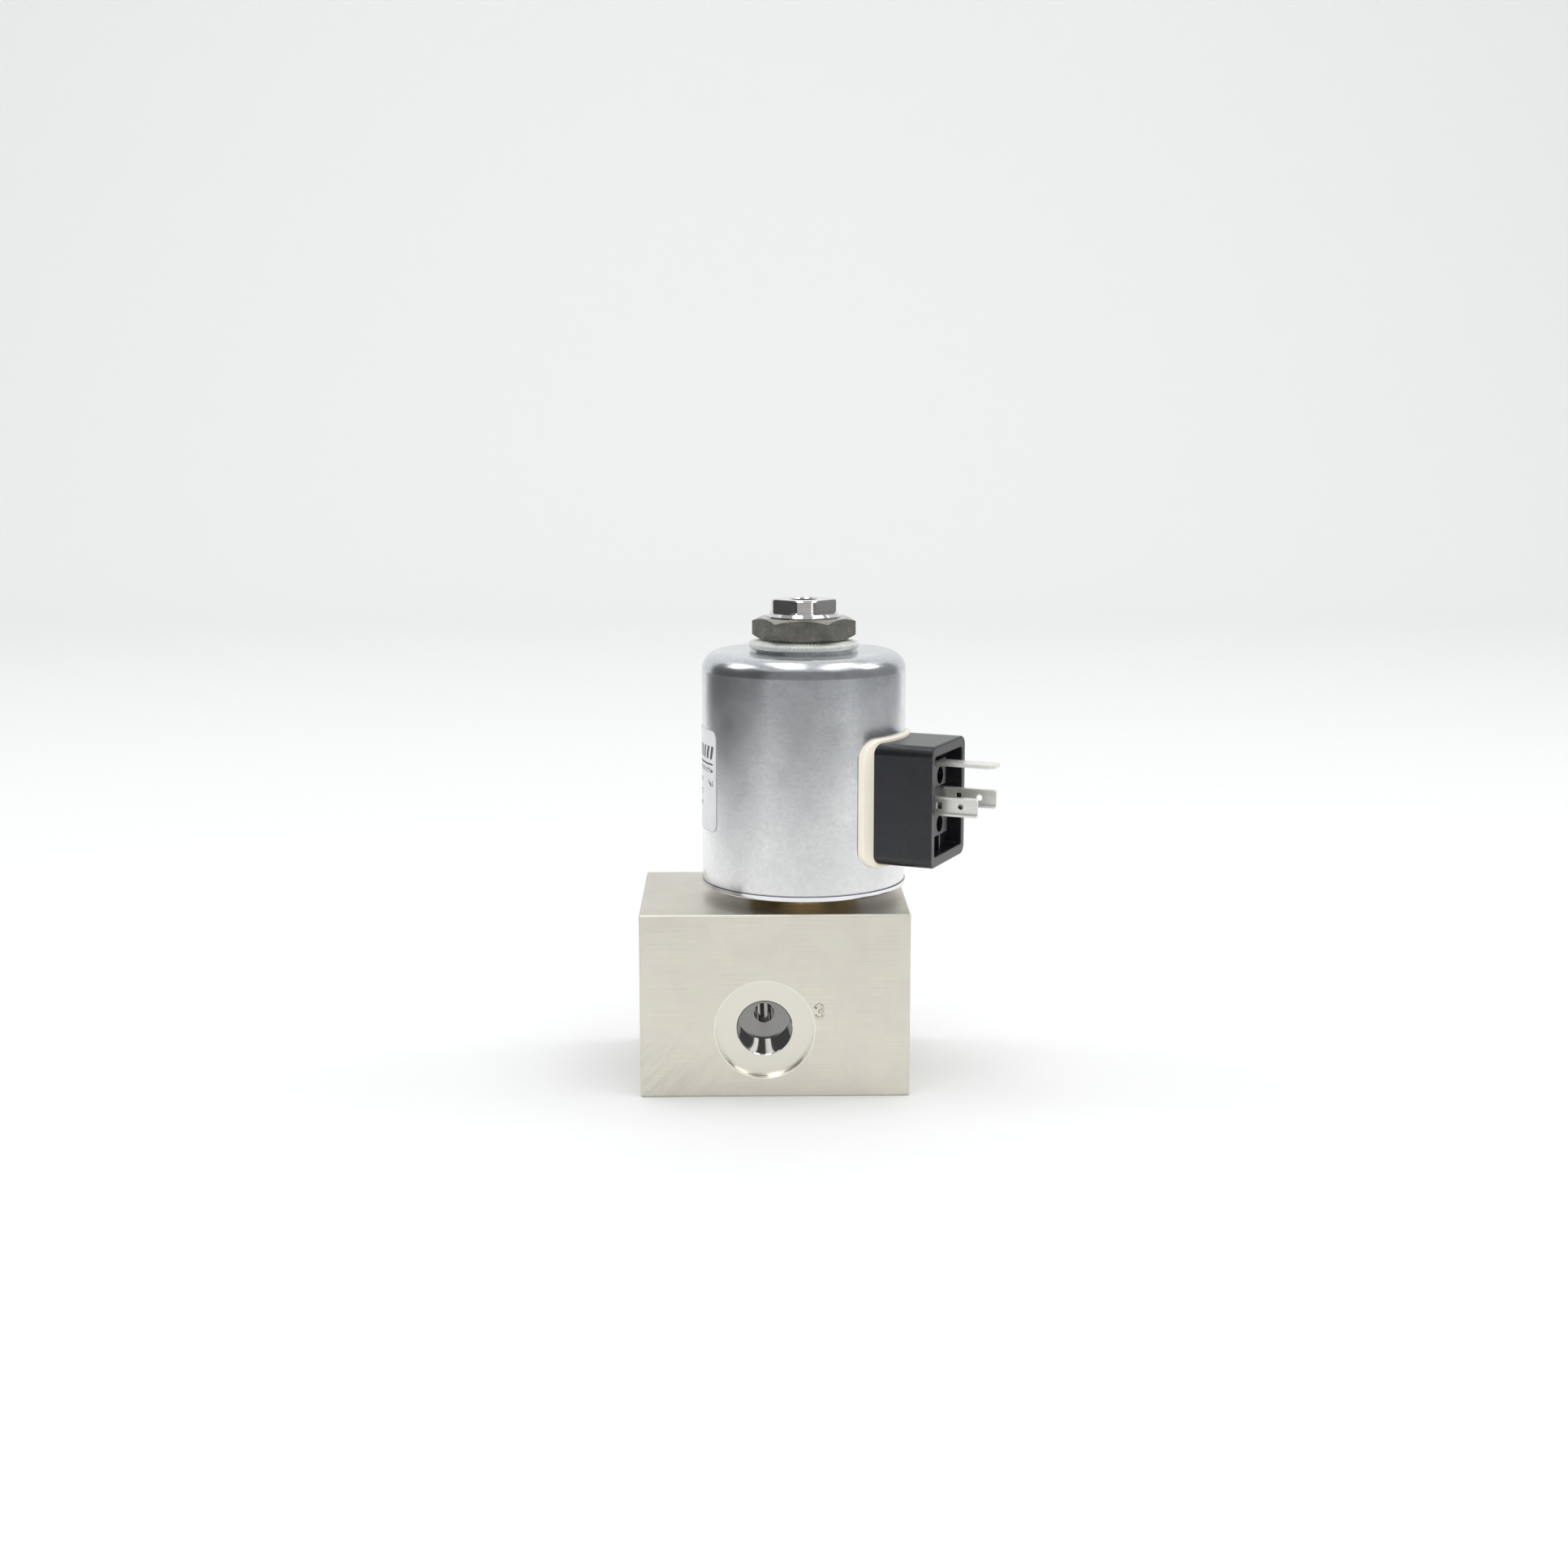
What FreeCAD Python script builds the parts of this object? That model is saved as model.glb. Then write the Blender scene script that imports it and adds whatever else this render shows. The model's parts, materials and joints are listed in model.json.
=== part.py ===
import FreeCAD, Part
import math
import os
import re

import Sketcher
from FreeCAD import Placement, Rotation, Vector

# A direct-acting 3/2 solenoid valve on a ported steel block.
# Z is up, the origin is the centre of the block's bottom face, and the front face,
# with port 3, looks along -Y. The solenoid's axis stands at axis_x to the right of
# the centre, and its plug connector points to the right and to the front.

SIZES = {
    # The block and where the solenoid stands on it.
    "block_width": 65.0,
    "block_depth": 50.0,
    "block_height": 45.0,
    "block_chamfer": 0.3,
    "axis_x": 7.5,
    # Stepped cavity under the solenoid, from the top face down.
    "ring_seat_radius": 12.0,
    "ring_seat_floor": 43.45,
    "cavity_radius": 10.05,
    "cavity_floor": 26.5,
    "valve_bore_radius": 5.0,
    "valve_bore_floor": 13.2,
    "inlet_radius": 4.2,
    "inlet_floor": 8.0,
    # Every port: a spotface, a bore with a broken edge, a slightly coned end and a passage.
    "spotface_radius": 12.0,
    "spotface_depth": 2.0,
    "port_radius": 6.6,
    "port_edge": 0.2,
    "port_depth": 15.0,
    "port_cone": 0.5,
    "front_port_x": -2.5,
    "front_port_z": 16.6,
    "front_passage_radius": 2.5,
    "front_passage_depth": 26.5,
    "left_port_z": 14.0,
    "left_passage_z": 10.6,
    "right_port_z": 18.0,
    "right_passage_z": 20.0,
    "side_passage_radius": 2.0,
    "riser_radius": 1.9,
    "riser_x": -0.4,
    # Port numbers stamped beside the spotfaces.
    "digit_height": 3.2,
    "digit_half_width": 0.36,
    "digit_half_floor": 0.06,
    "digit_depth": 0.4,
    "digit_end_growth": 0.015,
    "digit_offset_x": 13.1,
    "digit_offset_z": 4.6,
    # Threaded holes in the bottom.
    "base_hole_radius": 2.1,
    "base_hole_depth": 9.0,
    "base_hole_spacing_x": 49.0,
    "base_hole_spacing_y": 35.0,
    # Brass base of the armature tube, and its ring.
    "flange_radius": 13.7,
    "flange_top": 47.85,
    "spigot_radius": 10.0,
    "spigot_bottom": 34.0,
    "spigot_floor": 37.0,
    "stem_hole_radius": 2.0,
    "base_oring_major": 11.05,
    "base_oring_minor": 0.75,
    # Armature tube and fixed core.
    "tube_radius": 9.0,
    "tube_bore_radius": 8.1,
    "tube_bottom": 42.0,
    "tube_top": 99.0,
    "tube_fit": 0.05,
    "core_radius": 8.05,
    "core_bottom": 80.1,
    "core_thread_top": 114.2,
    "core_neck_radius": 8.3,
    "core_neck_rise": 0.7,
    "core_head_bottom": 115.4,
    "core_head_radius": 8.0,
    "core_head_top": 118.3,
    "core_head_flats": 14.0,
    "core_head_turn": 48.0,
    "core_head_chamfer": 0.3,
    "core_hole_radius": 3.5,
    "core_hole_floor": 112.0,
    "core_hole_cone": 1.0,
    "spring_pocket_radius": 3.6,
    "spring_top": 88.0,
    "spring_bottom": 70.0,
    "spring_coil_radius": 2.6,
    "spring_wire_radius": 0.4,
    "spring_turns": 8.0,
    # Armature, stem and poppet, at rest on the lower seat.
    "armature_radius": 7.95,
    "armature_bottom": 43.5,
    "armature_top": 78.5,
    "armature_groove_radius": 1.2,
    "armature_chamfer": 0.5,
    "stem_radius": 1.6,
    "stem_top": 49.5,
    "poppet_radius": 4.2,
    "poppet_bottom": 18.1,
    "poppet_top": 22.1,
    "seal_radius": 3.4,
    "seal_bottom": 17.7,
    "seal_pocket": 19.6,
    "upper_seal_radius": 3.7,
    "upper_seal_top": 22.4,
    "upper_seal_pocket": 20.8,
    # Seats.
    "lower_seat_radius": 4.97,
    "lower_seat_top": 17.2,
    "nozzle_radius": 2.7,
    "orifice_radius": 2.0,
    "seat_groove_radius": 4.2,
    "seat_groove_bottom": 14.6,
    "seat_groove_top": 15.8,
    "seat_oring_major": 4.6,
    "seat_oring_minor": 0.37,
    "upper_seat_bottom": 24.4,
    "upper_nozzle_bottom": 23.95,
    "upper_seat_top": 28.0,
    "upper_seat_flange": 6.2,
    "upper_seat_hole": 2.7,
    "upper_nozzle_radius": 3.3,
    # Solenoid can.
    "can_radius": 25.0,
    "can_wall": 1.5,
    "can_bottom": 47.9,
    "can_top": 105.7,
    "can_roof": 2.0,
    "can_shoulder": 4.5,
    "can_bead_radius": 25.3,
    "can_bead_top": 49.2,
    "can_bead_round": 0.59,
    "can_hole_radius": 9.3,
    "land_radius": 13.0,
    "land_top": 106.45,
    "seal_recess_radius": 12.0,
    "seal_recess_depth": 1.6,
    "coil_seal_major": 10.65,
    "coil_seal_minor": 0.74,
    "plate_top": 51.0,
    "plate_radius": 23.4,
    # Bobbin, winding and resin.
    "bobbin_bore_radius": 9.3,
    "bobbin_barrel_radius": 10.4,
    "bobbin_flange_radius": 19.4,
    "bobbin_bottom": 51.1,
    "bobbin_top": 101.5,
    "bobbin_flange": 2.0,
    "winding_radius": 18.9,
    "resin_inner_radius": 19.5,
    "resin_radius": 23.4,
    "resin_top": 100.0,
    # Plug connector. Its own frame has X outwards and Y across.
    "connector_turn": 25.0,
    "connector_z": 70.7,
    "connector_width": 24.0,
    "connector_height": 29.4,
    "connector_corner": 2.5,
    "connector_root": 22.6,
    "connector_face": 38.0,
    "window_width": 26.6,
    "window_height": 30.4,
    "window_corner": 3.5,
    "window_fit": 0.1,
    "collar_width": 29.4,
    "collar_height": 31.4,
    "collar_corner": 5.0,
    "collar_radius": 26.3,
    "collar_fit": 0.03,
    "collar_round": 0.6,
    "neck_start": 20.5,
    "frame_side": 2.4,
    "frame_end": 2.6,
    "recess_depth": 3.8,
    "recess_corner": 0.8,
    "recess_edge": 0.2,
    "face_round": 0.5,
    "island_drop": 2.2,
    "upper_island_width": 7.6,
    "upper_island_bottom": 3.9,
    "upper_island_top": 10.2,
    "lower_island_width": 10.6,
    "lower_island_bottom": -8.2,
    "lower_island_top": -3.1,
    "rib_width": 0.8,
    "upper_core_hole": 2.1,
    "upper_core_z": 6.3,
    "core_hole_depth": 6.0,
    "insert_radius": 2.1,
    "insert_bore_radius": 1.25,
    "insert_z": -5.5,
    "insert_length": 8.0,
    "insert_drop": 4.0,
    "power_blade_tip": 47.4,
    "power_blade_root": 26.0,
    "power_blade_height": 4.5,
    "power_blade_across": 7.0,
    "power_blade_flange": 1.5,
    "blade_sheet": 0.5,
    "blade_hole_radius": 0.75,
    "blade_hole_from_tip": 4.3,
    "blade_slot_from_tip": 9.6,
    "blade_slot_length": 1.4,
    "blade_slot_height": 1.7,
    "earth_blade_tip": 50.3,
    "earth_blade_width": 5.6,
    "earth_blade_sheet": 0.85,
    "earth_blade_z": 9.0,
    "earth_blade_chamfer": 1.2,
    "lead_radius": 0.5,
    "lead_start": 19.0,
    "lead_end": 26.0,
    "lead_fit": 0.02,
    # Type label on the can's left side.
    "label_fit": 0.03,
    "label_sheet": 0.2,
    "label_bottom": 62.4,
    "label_top": 87.3,
    "label_start": 126.0,
    "label_arc": 85.0,
    # Washer and nut on the core's thread.
    "washer_radius": 13.4,
    "washer_bore_radius": 9.15,
    "washer_bottom": 106.5,
    "washer_sheet": 1.4,
    "washer_rise": 0.7,
    "nut_flats": 22.0,
    "nut_height": 5.3,
    "nut_turn": -4.7,
    "nut_blank_radius": 14.3,
    "nut_chamfer_radius": 10.7,
    "nut_chamfer": 1.8,
    "thread_fit": 0.02,
    # Shared by several sub-parts: a gap at rest, and how far a cut runs on.
    "rest_gap": 0.02,
    "cut_overrun": 0.5,
}

doc = FreeCAD.newDocument("solenoid_valve")
sheet = doc.addObject("Spreadsheet::Sheet", "Sizes")
for row, (alias, size) in enumerate(SIZES.items(), start=1):
    sheet.set(f"A{row}", alias)
    sheet.set(f"B{row}", str(size))
    sheet.setAlias(f"B{row}", alias)
doc.recompute()

SUB_PARTS = []

# Two lengths closer than this are the same, in millimetres.
NEAR = 1e-3


# ---------------------------------------------------------------- sheet and bindings


def formula(text):
    """The text with each size's name written as a reference to its cell."""
    return re.sub(r"[a-z]\w+", lambda word: "Sizes." + word.group(0), str(text))


def number(text):
    """The value that a formula has now."""
    return float(sheet.evalExpression(formula(text)))


def bind(thing, **sizes):
    """Binds properties of an object to formulas of the sheet."""
    for name, text in sizes.items():
        setattr(thing, name, number(text))
        thing.setExpression(name, formula(text))
    return thing


def place(thing, x=0, y=0, z=0, turn=0, name="Placement"):
    """Puts an object at a bound point, turned about Z by a bound angle in degrees."""
    spot = Vector(number(x), number(y), number(z))
    setattr(thing, name, Placement(spot, Rotation(Vector(0, 0, 1), number(turn))))
    for axis, text in (("x", x), ("y", y), ("z", z)):
        thing.setExpression(f"{name}.Base.{axis}", formula(text))
    if str(turn) != "0":
        thing.setExpression(f"{name}.Rotation.Angle", formula(turn))
    return thing


def sub_part(thing, label):
    """Marks an object as a sub-part, under the name of its file."""
    thing.Label = label
    SUB_PARTS.append(thing)
    return thing


# ---------------------------------------------------------------- sketches and bodies


def new_body(name, **where):
    """An empty body placed in the valve's frame."""
    return place(doc.addObject("PartDesign::Body", name), **where)


def on_axis(name):
    """An empty body whose Z axis is the solenoid's axis."""
    return new_body(name, x="axis_x")


def on_connector(name):
    """An empty body with X outwards along the connector, Y across it and Z up."""
    return new_body(name, x="axis_x", z="connector_z", turn="-connector_turn")


def new_sketch(body, name, role, **offset):
    """A sketch on one of the body's own origin planes, moved by a bound offset."""
    plane = next(part for part in body.Origin.OriginFeatures if part.Role == role)
    sketch = body.newObject("Sketcher::SketchObject", name)
    sketch.AttachmentSupport = [(plane, "")]
    sketch.MapMode = "FlatFace"
    if offset:
        place(sketch, name="AttachmentOffset", **offset)
    return sketch


def fix_point(sketch, curve, end, x, y, key):
    """Holds one end or centre of a curve at formulas x and y of the sketch."""
    for kind, text in (("DistanceX", x), ("DistanceY", y)):
        rule = sketch.addConstraint(Sketcher.Constraint(kind, -1, 1, curve, end, number(text)))
        sketch.renameConstraint(rule, f"{kind}_{key}")
        sketch.setExpression(f"Constraints.{kind}_{key}", formula(text))


def draw_outline(sketch, corners):
    """A closed outline of straight lines through corners given as formulas."""
    first = sketch.GeometryCount
    spots = [Vector(number(x), number(y), 0) for x, y in corners]
    for start, end in zip(spots, spots[1:] + spots[:1]):
        sketch.addGeometry(Part.LineSegment(start, end))
    for index, (x, y) in enumerate(corners):
        before = first + (index - 1) % len(corners)
        sketch.addConstraint(Sketcher.Constraint("Coincident", before, 2, first + index, 1))
        fix_point(sketch, first + index, 1, x, y, f"corner_{first + index}")
    return sketch


def draw_rectangle(sketch, x0, y0, x1, y1):
    """An upright rectangle between two corners given as formulas."""
    return draw_outline(sketch, [(x0, y0), (x1, y0), (x1, y1), (x0, y1)])


def draw_circle(sketch, x, y, radius):
    """A circle with its centre and radius given as formulas."""
    centre = Vector(number(x), number(y), 0)
    curve = sketch.addGeometry(Part.Circle(centre, Vector(0, 0, 1), number(radius)))
    fix_point(sketch, curve, 3, x, y, f"centre_{curve}")
    rule = sketch.addConstraint(Sketcher.Constraint("Radius", curve, number(radius)))
    sketch.renameConstraint(rule, f"radius_{curve}")
    sketch.setExpression(f"Constraints.radius_{curve}", formula(radius))
    return sketch


def extrude(body, kind, name, sketch, length, reverse=False):
    """A Pad or a Pocket of a sketch. A Pocket must take material away."""
    doc.recompute()
    before = body.Shape.Volume if body.Tip else 0.0
    feature = body.newObject(f"PartDesign::{kind}", name)
    feature.Profile = sketch
    feature.Reversed = reverse
    bind(feature, Length=length)
    doc.recompute()
    if kind == "Pocket" and feature.Shape.Volume > before - 1e-6:
        raise RuntimeError(f"{name} takes nothing away")
    return feature


def revolve(body, kind, name, sketch):
    """A full Revolution or Groove of a sketch about its own vertical axis."""
    doc.recompute()
    before = body.Shape.Volume if body.Tip else 0.0
    feature = body.newObject(f"PartDesign::{kind}", name)
    feature.Profile = sketch
    feature.ReferenceAxis = (sketch, ["V_Axis"])
    feature.Angle = 360
    doc.recompute()
    if kind == "Groove" and feature.Shape.Volume > before - 1e-6:
        raise RuntimeError(f"{name} takes nothing away")
    return feature


def dress(body, kind, name, size, wanted):
    """A Fillet or a Chamfer on the edges of the tip for which wanted(edge) is true."""
    base = body.Tip
    edges = [f"Edge{i}" for i, edge in enumerate(base.Shape.Edges, 1) if wanted(edge)]
    if not edges:
        raise RuntimeError(f"{name} finds no edge")
    feature = body.newObject(f"PartDesign::{kind}", name)
    feature.Base = (base, edges)
    bind(feature, **{"Radius" if kind == "Fillet" else "Size": size})
    doc.recompute()
    return feature


def turned(name, outline, label=None):
    """A body turned about the solenoid's axis from an outline of (radius, height)."""
    body = on_axis(name)
    sketch = draw_outline(new_sketch(body, f"{name}_outline", "XZ_Plane"), outline)
    revolve(body, "Revolution", f"{name}_turned", sketch)
    return sub_part(body, label) if label else body


def is_ring(edge, radius, height):
    """True for a circular edge about Z of that radius at that height."""
    curve = edge.Curve
    return (
        isinstance(curve, Part.Circle)
        and abs(curve.Radius - number(radius)) < NEAR
        and abs(curve.Center.z - number(height)) < NEAR
    )


def is_along(edge, direction):
    """True for a straight edge in that direction."""
    return isinstance(edge.Curve, Part.Line) and abs(edge.Curve.Direction.dot(direction)) > 0.999


def is_long(edge, length):
    """True for an edge of that length."""
    return abs(edge.Length - number(length)) < NEAR


def is_at(edge, place_x):
    """True for an edge that lies in the plane across X at that place."""
    return all(abs(spot.x - number(place_x)) < NEAR for spot in edge.discretize(5))


def ring(name, label, major, minor, height):
    """An O-ring about the solenoid's axis."""
    torus = bind(doc.addObject("Part::Torus", name), Radius1=major, Radius2=minor)
    return sub_part(place(torus, x="axis_x", z=height), label)


def boolean(kind, name, base, tool):
    """A Part cut or common of two objects."""
    result = doc.addObject(f"Part::{kind}", name)
    result.Base = base
    result.Tool = tool
    return result


def fuse(name, shapes):
    """A Part fusion of several objects."""
    result = doc.addObject("Part::MultiFuse", name)
    result.Shapes = shapes
    return result


# ---------------------------------------------------------------- the ported block


def port(body, name, mouth, passage_radius, passage_depth):
    """Cuts a port whose mouth is at a bound place, with Y into the block."""
    edge_depth = "spotface_depth + port_edge"
    outline = [
        ("0", "0"),
        ("spotface_radius", "0"),
        ("spotface_radius", "spotface_depth"),
        ("port_radius + port_edge", "spotface_depth"),
        ("port_radius", edge_depth),
        ("port_radius", "port_depth"),
        (passage_radius, "port_depth + port_cone"),
        (passage_radius, passage_depth),
        ("0", passage_depth),
    ]
    sketch = draw_outline(new_sketch(body, f"{name}_outline", "XY_Plane", **mouth), outline)
    revolve(body, "Groove", f"{name}_cut", sketch)


def passage(body, name, start, depth):
    """Cuts a side passage below or above the port's own axis, with Y into the block."""
    outline = [
        ("0", "port_depth - port_cone"),
        ("side_passage_radius", "port_depth - port_cone"),
        ("side_passage_radius", depth),
        ("0", depth),
    ]
    sketch = draw_outline(new_sketch(body, f"{name}_outline", "XY_Plane", **start), outline)
    revolve(body, "Groove", f"{name}_cut", sketch)


def machine_cavity(body):
    """Cuts the stepped cavity that takes the armature tube's base and both seats."""
    sketch = new_sketch(body, "cavity_outline", "XZ_Plane", x="axis_x")
    draw_outline(
        sketch,
        [
            ("0", "inlet_floor"),
            ("inlet_radius", "inlet_floor"),
            ("inlet_radius", "valve_bore_floor"),
            ("valve_bore_radius", "valve_bore_floor"),
            ("valve_bore_radius", "cavity_floor"),
            ("cavity_radius", "cavity_floor"),
            ("cavity_radius", "ring_seat_floor"),
            ("ring_seat_radius", "ring_seat_floor"),
            ("ring_seat_radius", "block_height + cut_overrun"),
            ("0", "block_height + cut_overrun"),
        ],
    )
    revolve(body, "Groove", "cavity_cut", sketch)


def machine_ports(body):
    """Cuts the three ports, their passages and the riser from port 3 to the cavity."""
    port(
        body,
        "port_3",
        {"x": "front_port_x", "y": "-block_depth / 2", "z": "front_port_z"},
        "front_passage_radius",
        "front_passage_depth",
    )
    riser = new_sketch(body, "riser_circle", "XY_Plane", z="front_port_z")
    draw_circle(riser, "riser_x", "0", "riser_radius")
    extrude(body, "Pocket", "riser_cut", riser, "cavity_floor - front_port_z + cut_overrun", reverse=True)
    left = {"x": "-block_width / 2", "turn": "-90"}
    right = {"x": "block_width / 2", "turn": "90"}
    stub = "port_depth + port_cone + cut_overrun"
    port(body, "port_1", {"z": "left_port_z", **left}, "side_passage_radius", stub)
    port(body, "port_2", {"z": "right_port_z", **right}, "side_passage_radius", stub)
    to_left = "block_width / 2 + axis_x - inlet_radius + cut_overrun"
    to_right = "block_width / 2 - axis_x - valve_bore_radius + cut_overrun"
    passage(body, "passage_1", {"z": "left_passage_z", **left}, to_left)
    passage(body, "passage_2", {"z": "right_passage_z", **right}, to_right)


def machine_base_holes(body):
    """Cuts the four holes for M5 screws in the bottom face."""
    sketch = new_sketch(body, "base_hole_circles", "XY_Plane")
    for side_x in ("-", ""):
        for side_y in ("-", ""):
            spot = (f"{side_x}base_hole_spacing_x / 2", f"{side_y}base_hole_spacing_y / 2")
            draw_circle(sketch, *spot, "base_hole_radius")
    extrude(body, "Pocket", "base_holes_cut", sketch, "base_hole_depth", reverse=True)


def stroke_section(offset):
    """The corners of a stroke's section: across it from an offset, and out of the face."""
    deep = number("digit_depth")
    floor = number("digit_half_floor")
    # The sloping sides run on above the face by the groove's own depth.
    top = 2 * number("digit_half_width") - floor
    return [(offset - floor, -deep), (offset + floor, -deep), (offset + top, deep), (offset - top, deep)]


def arc_stroke(x, y, radius, start, sweep):
    """A bent stroke lying flat, and its two ends."""
    centre = Vector(x, y, 0)
    up = Vector(0, 0, 1)
    corners = [centre + Vector(out, 0, high) for out, high in stroke_section(radius)]
    section = Part.Face(Part.makePolygon(corners + corners[:1]))
    section.rotate(centre, up, start)
    ends = [
        centre + Vector(math.cos(angle), math.sin(angle), 0) * radius
        for angle in (math.radians(start), math.radians(start + sweep))
    ]
    return section.revolve(centre, up, sweep), ends


def line_stroke(x0, y0, x1, y1):
    """A straight stroke lying flat, and its two ends."""
    start = Vector(x0, y0, 0)
    run = Vector(x1 - x0, y1 - y0, 0)
    corners = [start + Vector(0, across, high) for across, high in stroke_section(0)]
    section = Part.Face(Part.makePolygon(corners + corners[:1]))
    section.rotate(start, Vector(0, 0, 1), math.degrees(math.atan2(run.y, run.x)))
    return section.extrude(run), [start, start + run]


def round_end(spot):
    """The cone that ends a stroke, a little wider, so that no faces coincide."""
    deep = number("digit_depth")
    growth = number("digit_end_growth")
    floor = number("digit_half_floor")
    top = 2 * number("digit_half_width") - floor
    return Part.makeCone(floor + growth, top + growth, 2 * deep, spot - Vector(0, 0, deep))


def digit_tool(name, strokes, turn, x, y, z):
    """The punch for one port number, standing on a side face with Y into the block.

    A stroke is (line_stroke, x, y, x, y) or (arc_stroke, x, y, radius, start, sweep),
    with lengths in shares of the digit's height and angles in degrees."""
    height = number("digit_height")
    solids = []
    for make, *values in strokes:
        count = 4 if make is line_stroke else 3
        lengths = [value * height for value in values[:count]]
        stroke, ends = make(*lengths, *values[count:])
        solids.append(stroke)
        solids += [round_end(end) for end in ends]
    for solid in solids:
        solid.rotate(Vector(), Vector(1, 0, 0), 90)
    tool = doc.addObject("Part::Feature", name)
    tool.Shape = solids[0].fuse(solids[1:])
    return place(tool, x=x, y=y, z=z, turn=turn)


def make_digit_tools():
    """One punch for each port number, to the right of its spotface."""
    one = [(line_stroke, 0.05, -0.5, 0.05, 0.5), (line_stroke, 0.05, 0.5, -0.2, 0.25)]
    two = [
        (arc_stroke, 0, 0.22, 0.28, -25, 200),
        (line_stroke, 0.25, 0.1, -0.3, -0.5),
        (line_stroke, -0.3, -0.5, 0.3, -0.5),
    ]
    three = [(arc_stroke, 0, 0.22, 0.28, -80, 245), (arc_stroke, 0, -0.24, 0.3, -165, 245)]
    raised = " + digit_offset_z"
    half = "block_width / 2"
    front_x = "front_port_x + digit_offset_x"
    front_z = "front_port_z" + raised
    return [
        digit_tool("digit_1", one, "-90", f"-{half}", "-digit_offset_x", "left_port_z" + raised),
        digit_tool("digit_2", two, "90", half, "digit_offset_x", "right_port_z" + raised),
        digit_tool("digit_3", three, "0", front_x, "-block_depth / 2", front_z),
    ]


def make_block():
    """The block with its cavity, ports, threaded holes and stamped numbers."""
    body = new_body("block_body")
    sketch = new_sketch(body, "block_outline", "XY_Plane")
    half = ("block_width / 2", "block_depth / 2")
    draw_rectangle(sketch, f"-{half[0]}", f"-{half[1]}", *half)
    extrude(body, "Pad", "block_pad", sketch, "block_height")
    dress(body, "Chamfer", "block_edges", "block_chamfer", lambda edge: True)
    machine_cavity(body)
    machine_ports(body)
    machine_base_holes(body)
    block = body
    for tool in make_digit_tools():
        block = boolean("Cut", f"stamped_{tool.Name}", block, tool)
    return sub_part(block, "valve_block")


# ---------------------------------------------------------------- tube, core and seats


def make_tube_base():
    """The brass base that screws into the block and holds the armature tube."""
    turned(
        "tube_base_body",
        [
            ("stem_hole_radius", "spigot_bottom"),
            ("spigot_radius", "spigot_bottom"),
            ("spigot_radius", "block_height"),
            ("flange_radius", "block_height"),
            ("flange_radius", "flange_top"),
            ("tube_radius + tube_fit", "flange_top"),
            ("tube_radius + tube_fit", "tube_bottom"),
            ("tube_bore_radius", "tube_bottom"),
            ("tube_bore_radius", "spigot_floor"),
            ("stem_hole_radius", "spigot_floor"),
        ],
        "tube_base",
    )
    height = "block_height - base_oring_minor - rest_gap"
    ring("tube_base_ring", "tube_base_oring", "base_oring_major", "base_oring_minor", height)


def make_guide_tube():
    """The thin tube in which the armature slides."""
    turned(
        "guide_tube_body",
        [
            ("tube_bore_radius", "tube_bottom"),
            ("tube_radius", "tube_bottom"),
            ("tube_radius", "tube_top"),
            ("tube_bore_radius", "tube_top"),
        ],
        "guide_tube",
    )


def make_fixed_core():
    """The fixed core, with a spring pocket below and a thread and square head above."""
    body = turned(
        "fixed_core_body",
        [
            ("spring_pocket_radius", "core_bottom"),
            ("core_radius", "core_bottom"),
            ("core_radius", "tube_top"),
            ("tube_radius", "tube_top"),
            ("tube_radius", "core_thread_top"),
            ("core_neck_radius", "core_thread_top + core_neck_rise"),
            ("core_neck_radius", "core_head_bottom"),
            ("core_head_radius", "core_head_bottom"),
            ("core_head_radius", "core_head_top - core_head_chamfer"),
            ("core_head_radius - core_head_chamfer", "core_head_top"),
            ("core_hole_radius + core_head_chamfer", "core_head_top"),
            ("core_hole_radius", "core_head_top - core_head_chamfer"),
            ("core_hole_radius", "core_hole_floor"),
            ("0", "core_hole_floor - core_hole_cone"),
            ("0", "spring_top"),
            ("spring_pocket_radius", "spring_top"),
        ],
    )
    flats = new_sketch(body, "head_flats", "XY_Plane", z="core_head_top", turn="core_head_turn")
    draw_circle(flats, "0", "0", "core_head_flats")
    half = "core_head_flats / 2"
    draw_rectangle(flats, f"-{half}", f"-{half}", half, half)
    extrude(body, "Pocket", "head_flats_cut", flats, "core_head_top - core_head_bottom")
    return sub_part(body, "fixed_core")


def make_seats():
    """The inlet seat with its ring, and the exhaust seat above the poppet."""
    turned(
        "lower_seat_body",
        [
            ("orifice_radius", "valve_bore_floor"),
            ("lower_seat_radius", "valve_bore_floor"),
            ("lower_seat_radius", "seat_groove_bottom"),
            ("seat_groove_radius", "seat_groove_bottom"),
            ("seat_groove_radius", "seat_groove_top"),
            ("lower_seat_radius", "seat_groove_top"),
            ("lower_seat_radius", "lower_seat_top"),
            ("nozzle_radius", "lower_seat_top"),
            ("nozzle_radius", "seal_bottom"),
            ("orifice_radius", "seal_bottom"),
        ],
        "lower_seat",
    )
    height = "(seat_groove_bottom + seat_groove_top) / 2"
    ring("lower_seat_ring", "lower_seat_oring", "seat_oring_major", "seat_oring_minor", height)
    turned(
        "upper_seat_body",
        [
            ("upper_seat_hole", "upper_nozzle_bottom"),
            ("upper_nozzle_radius", "upper_nozzle_bottom"),
            ("upper_nozzle_radius", "upper_seat_bottom"),
            ("lower_seat_radius", "upper_seat_bottom"),
            ("lower_seat_radius", "cavity_floor"),
            ("upper_seat_flange", "cavity_floor"),
            ("upper_seat_flange", "upper_seat_top"),
            ("upper_seat_hole", "upper_seat_top"),
        ],
        "upper_seat",
    )


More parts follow.
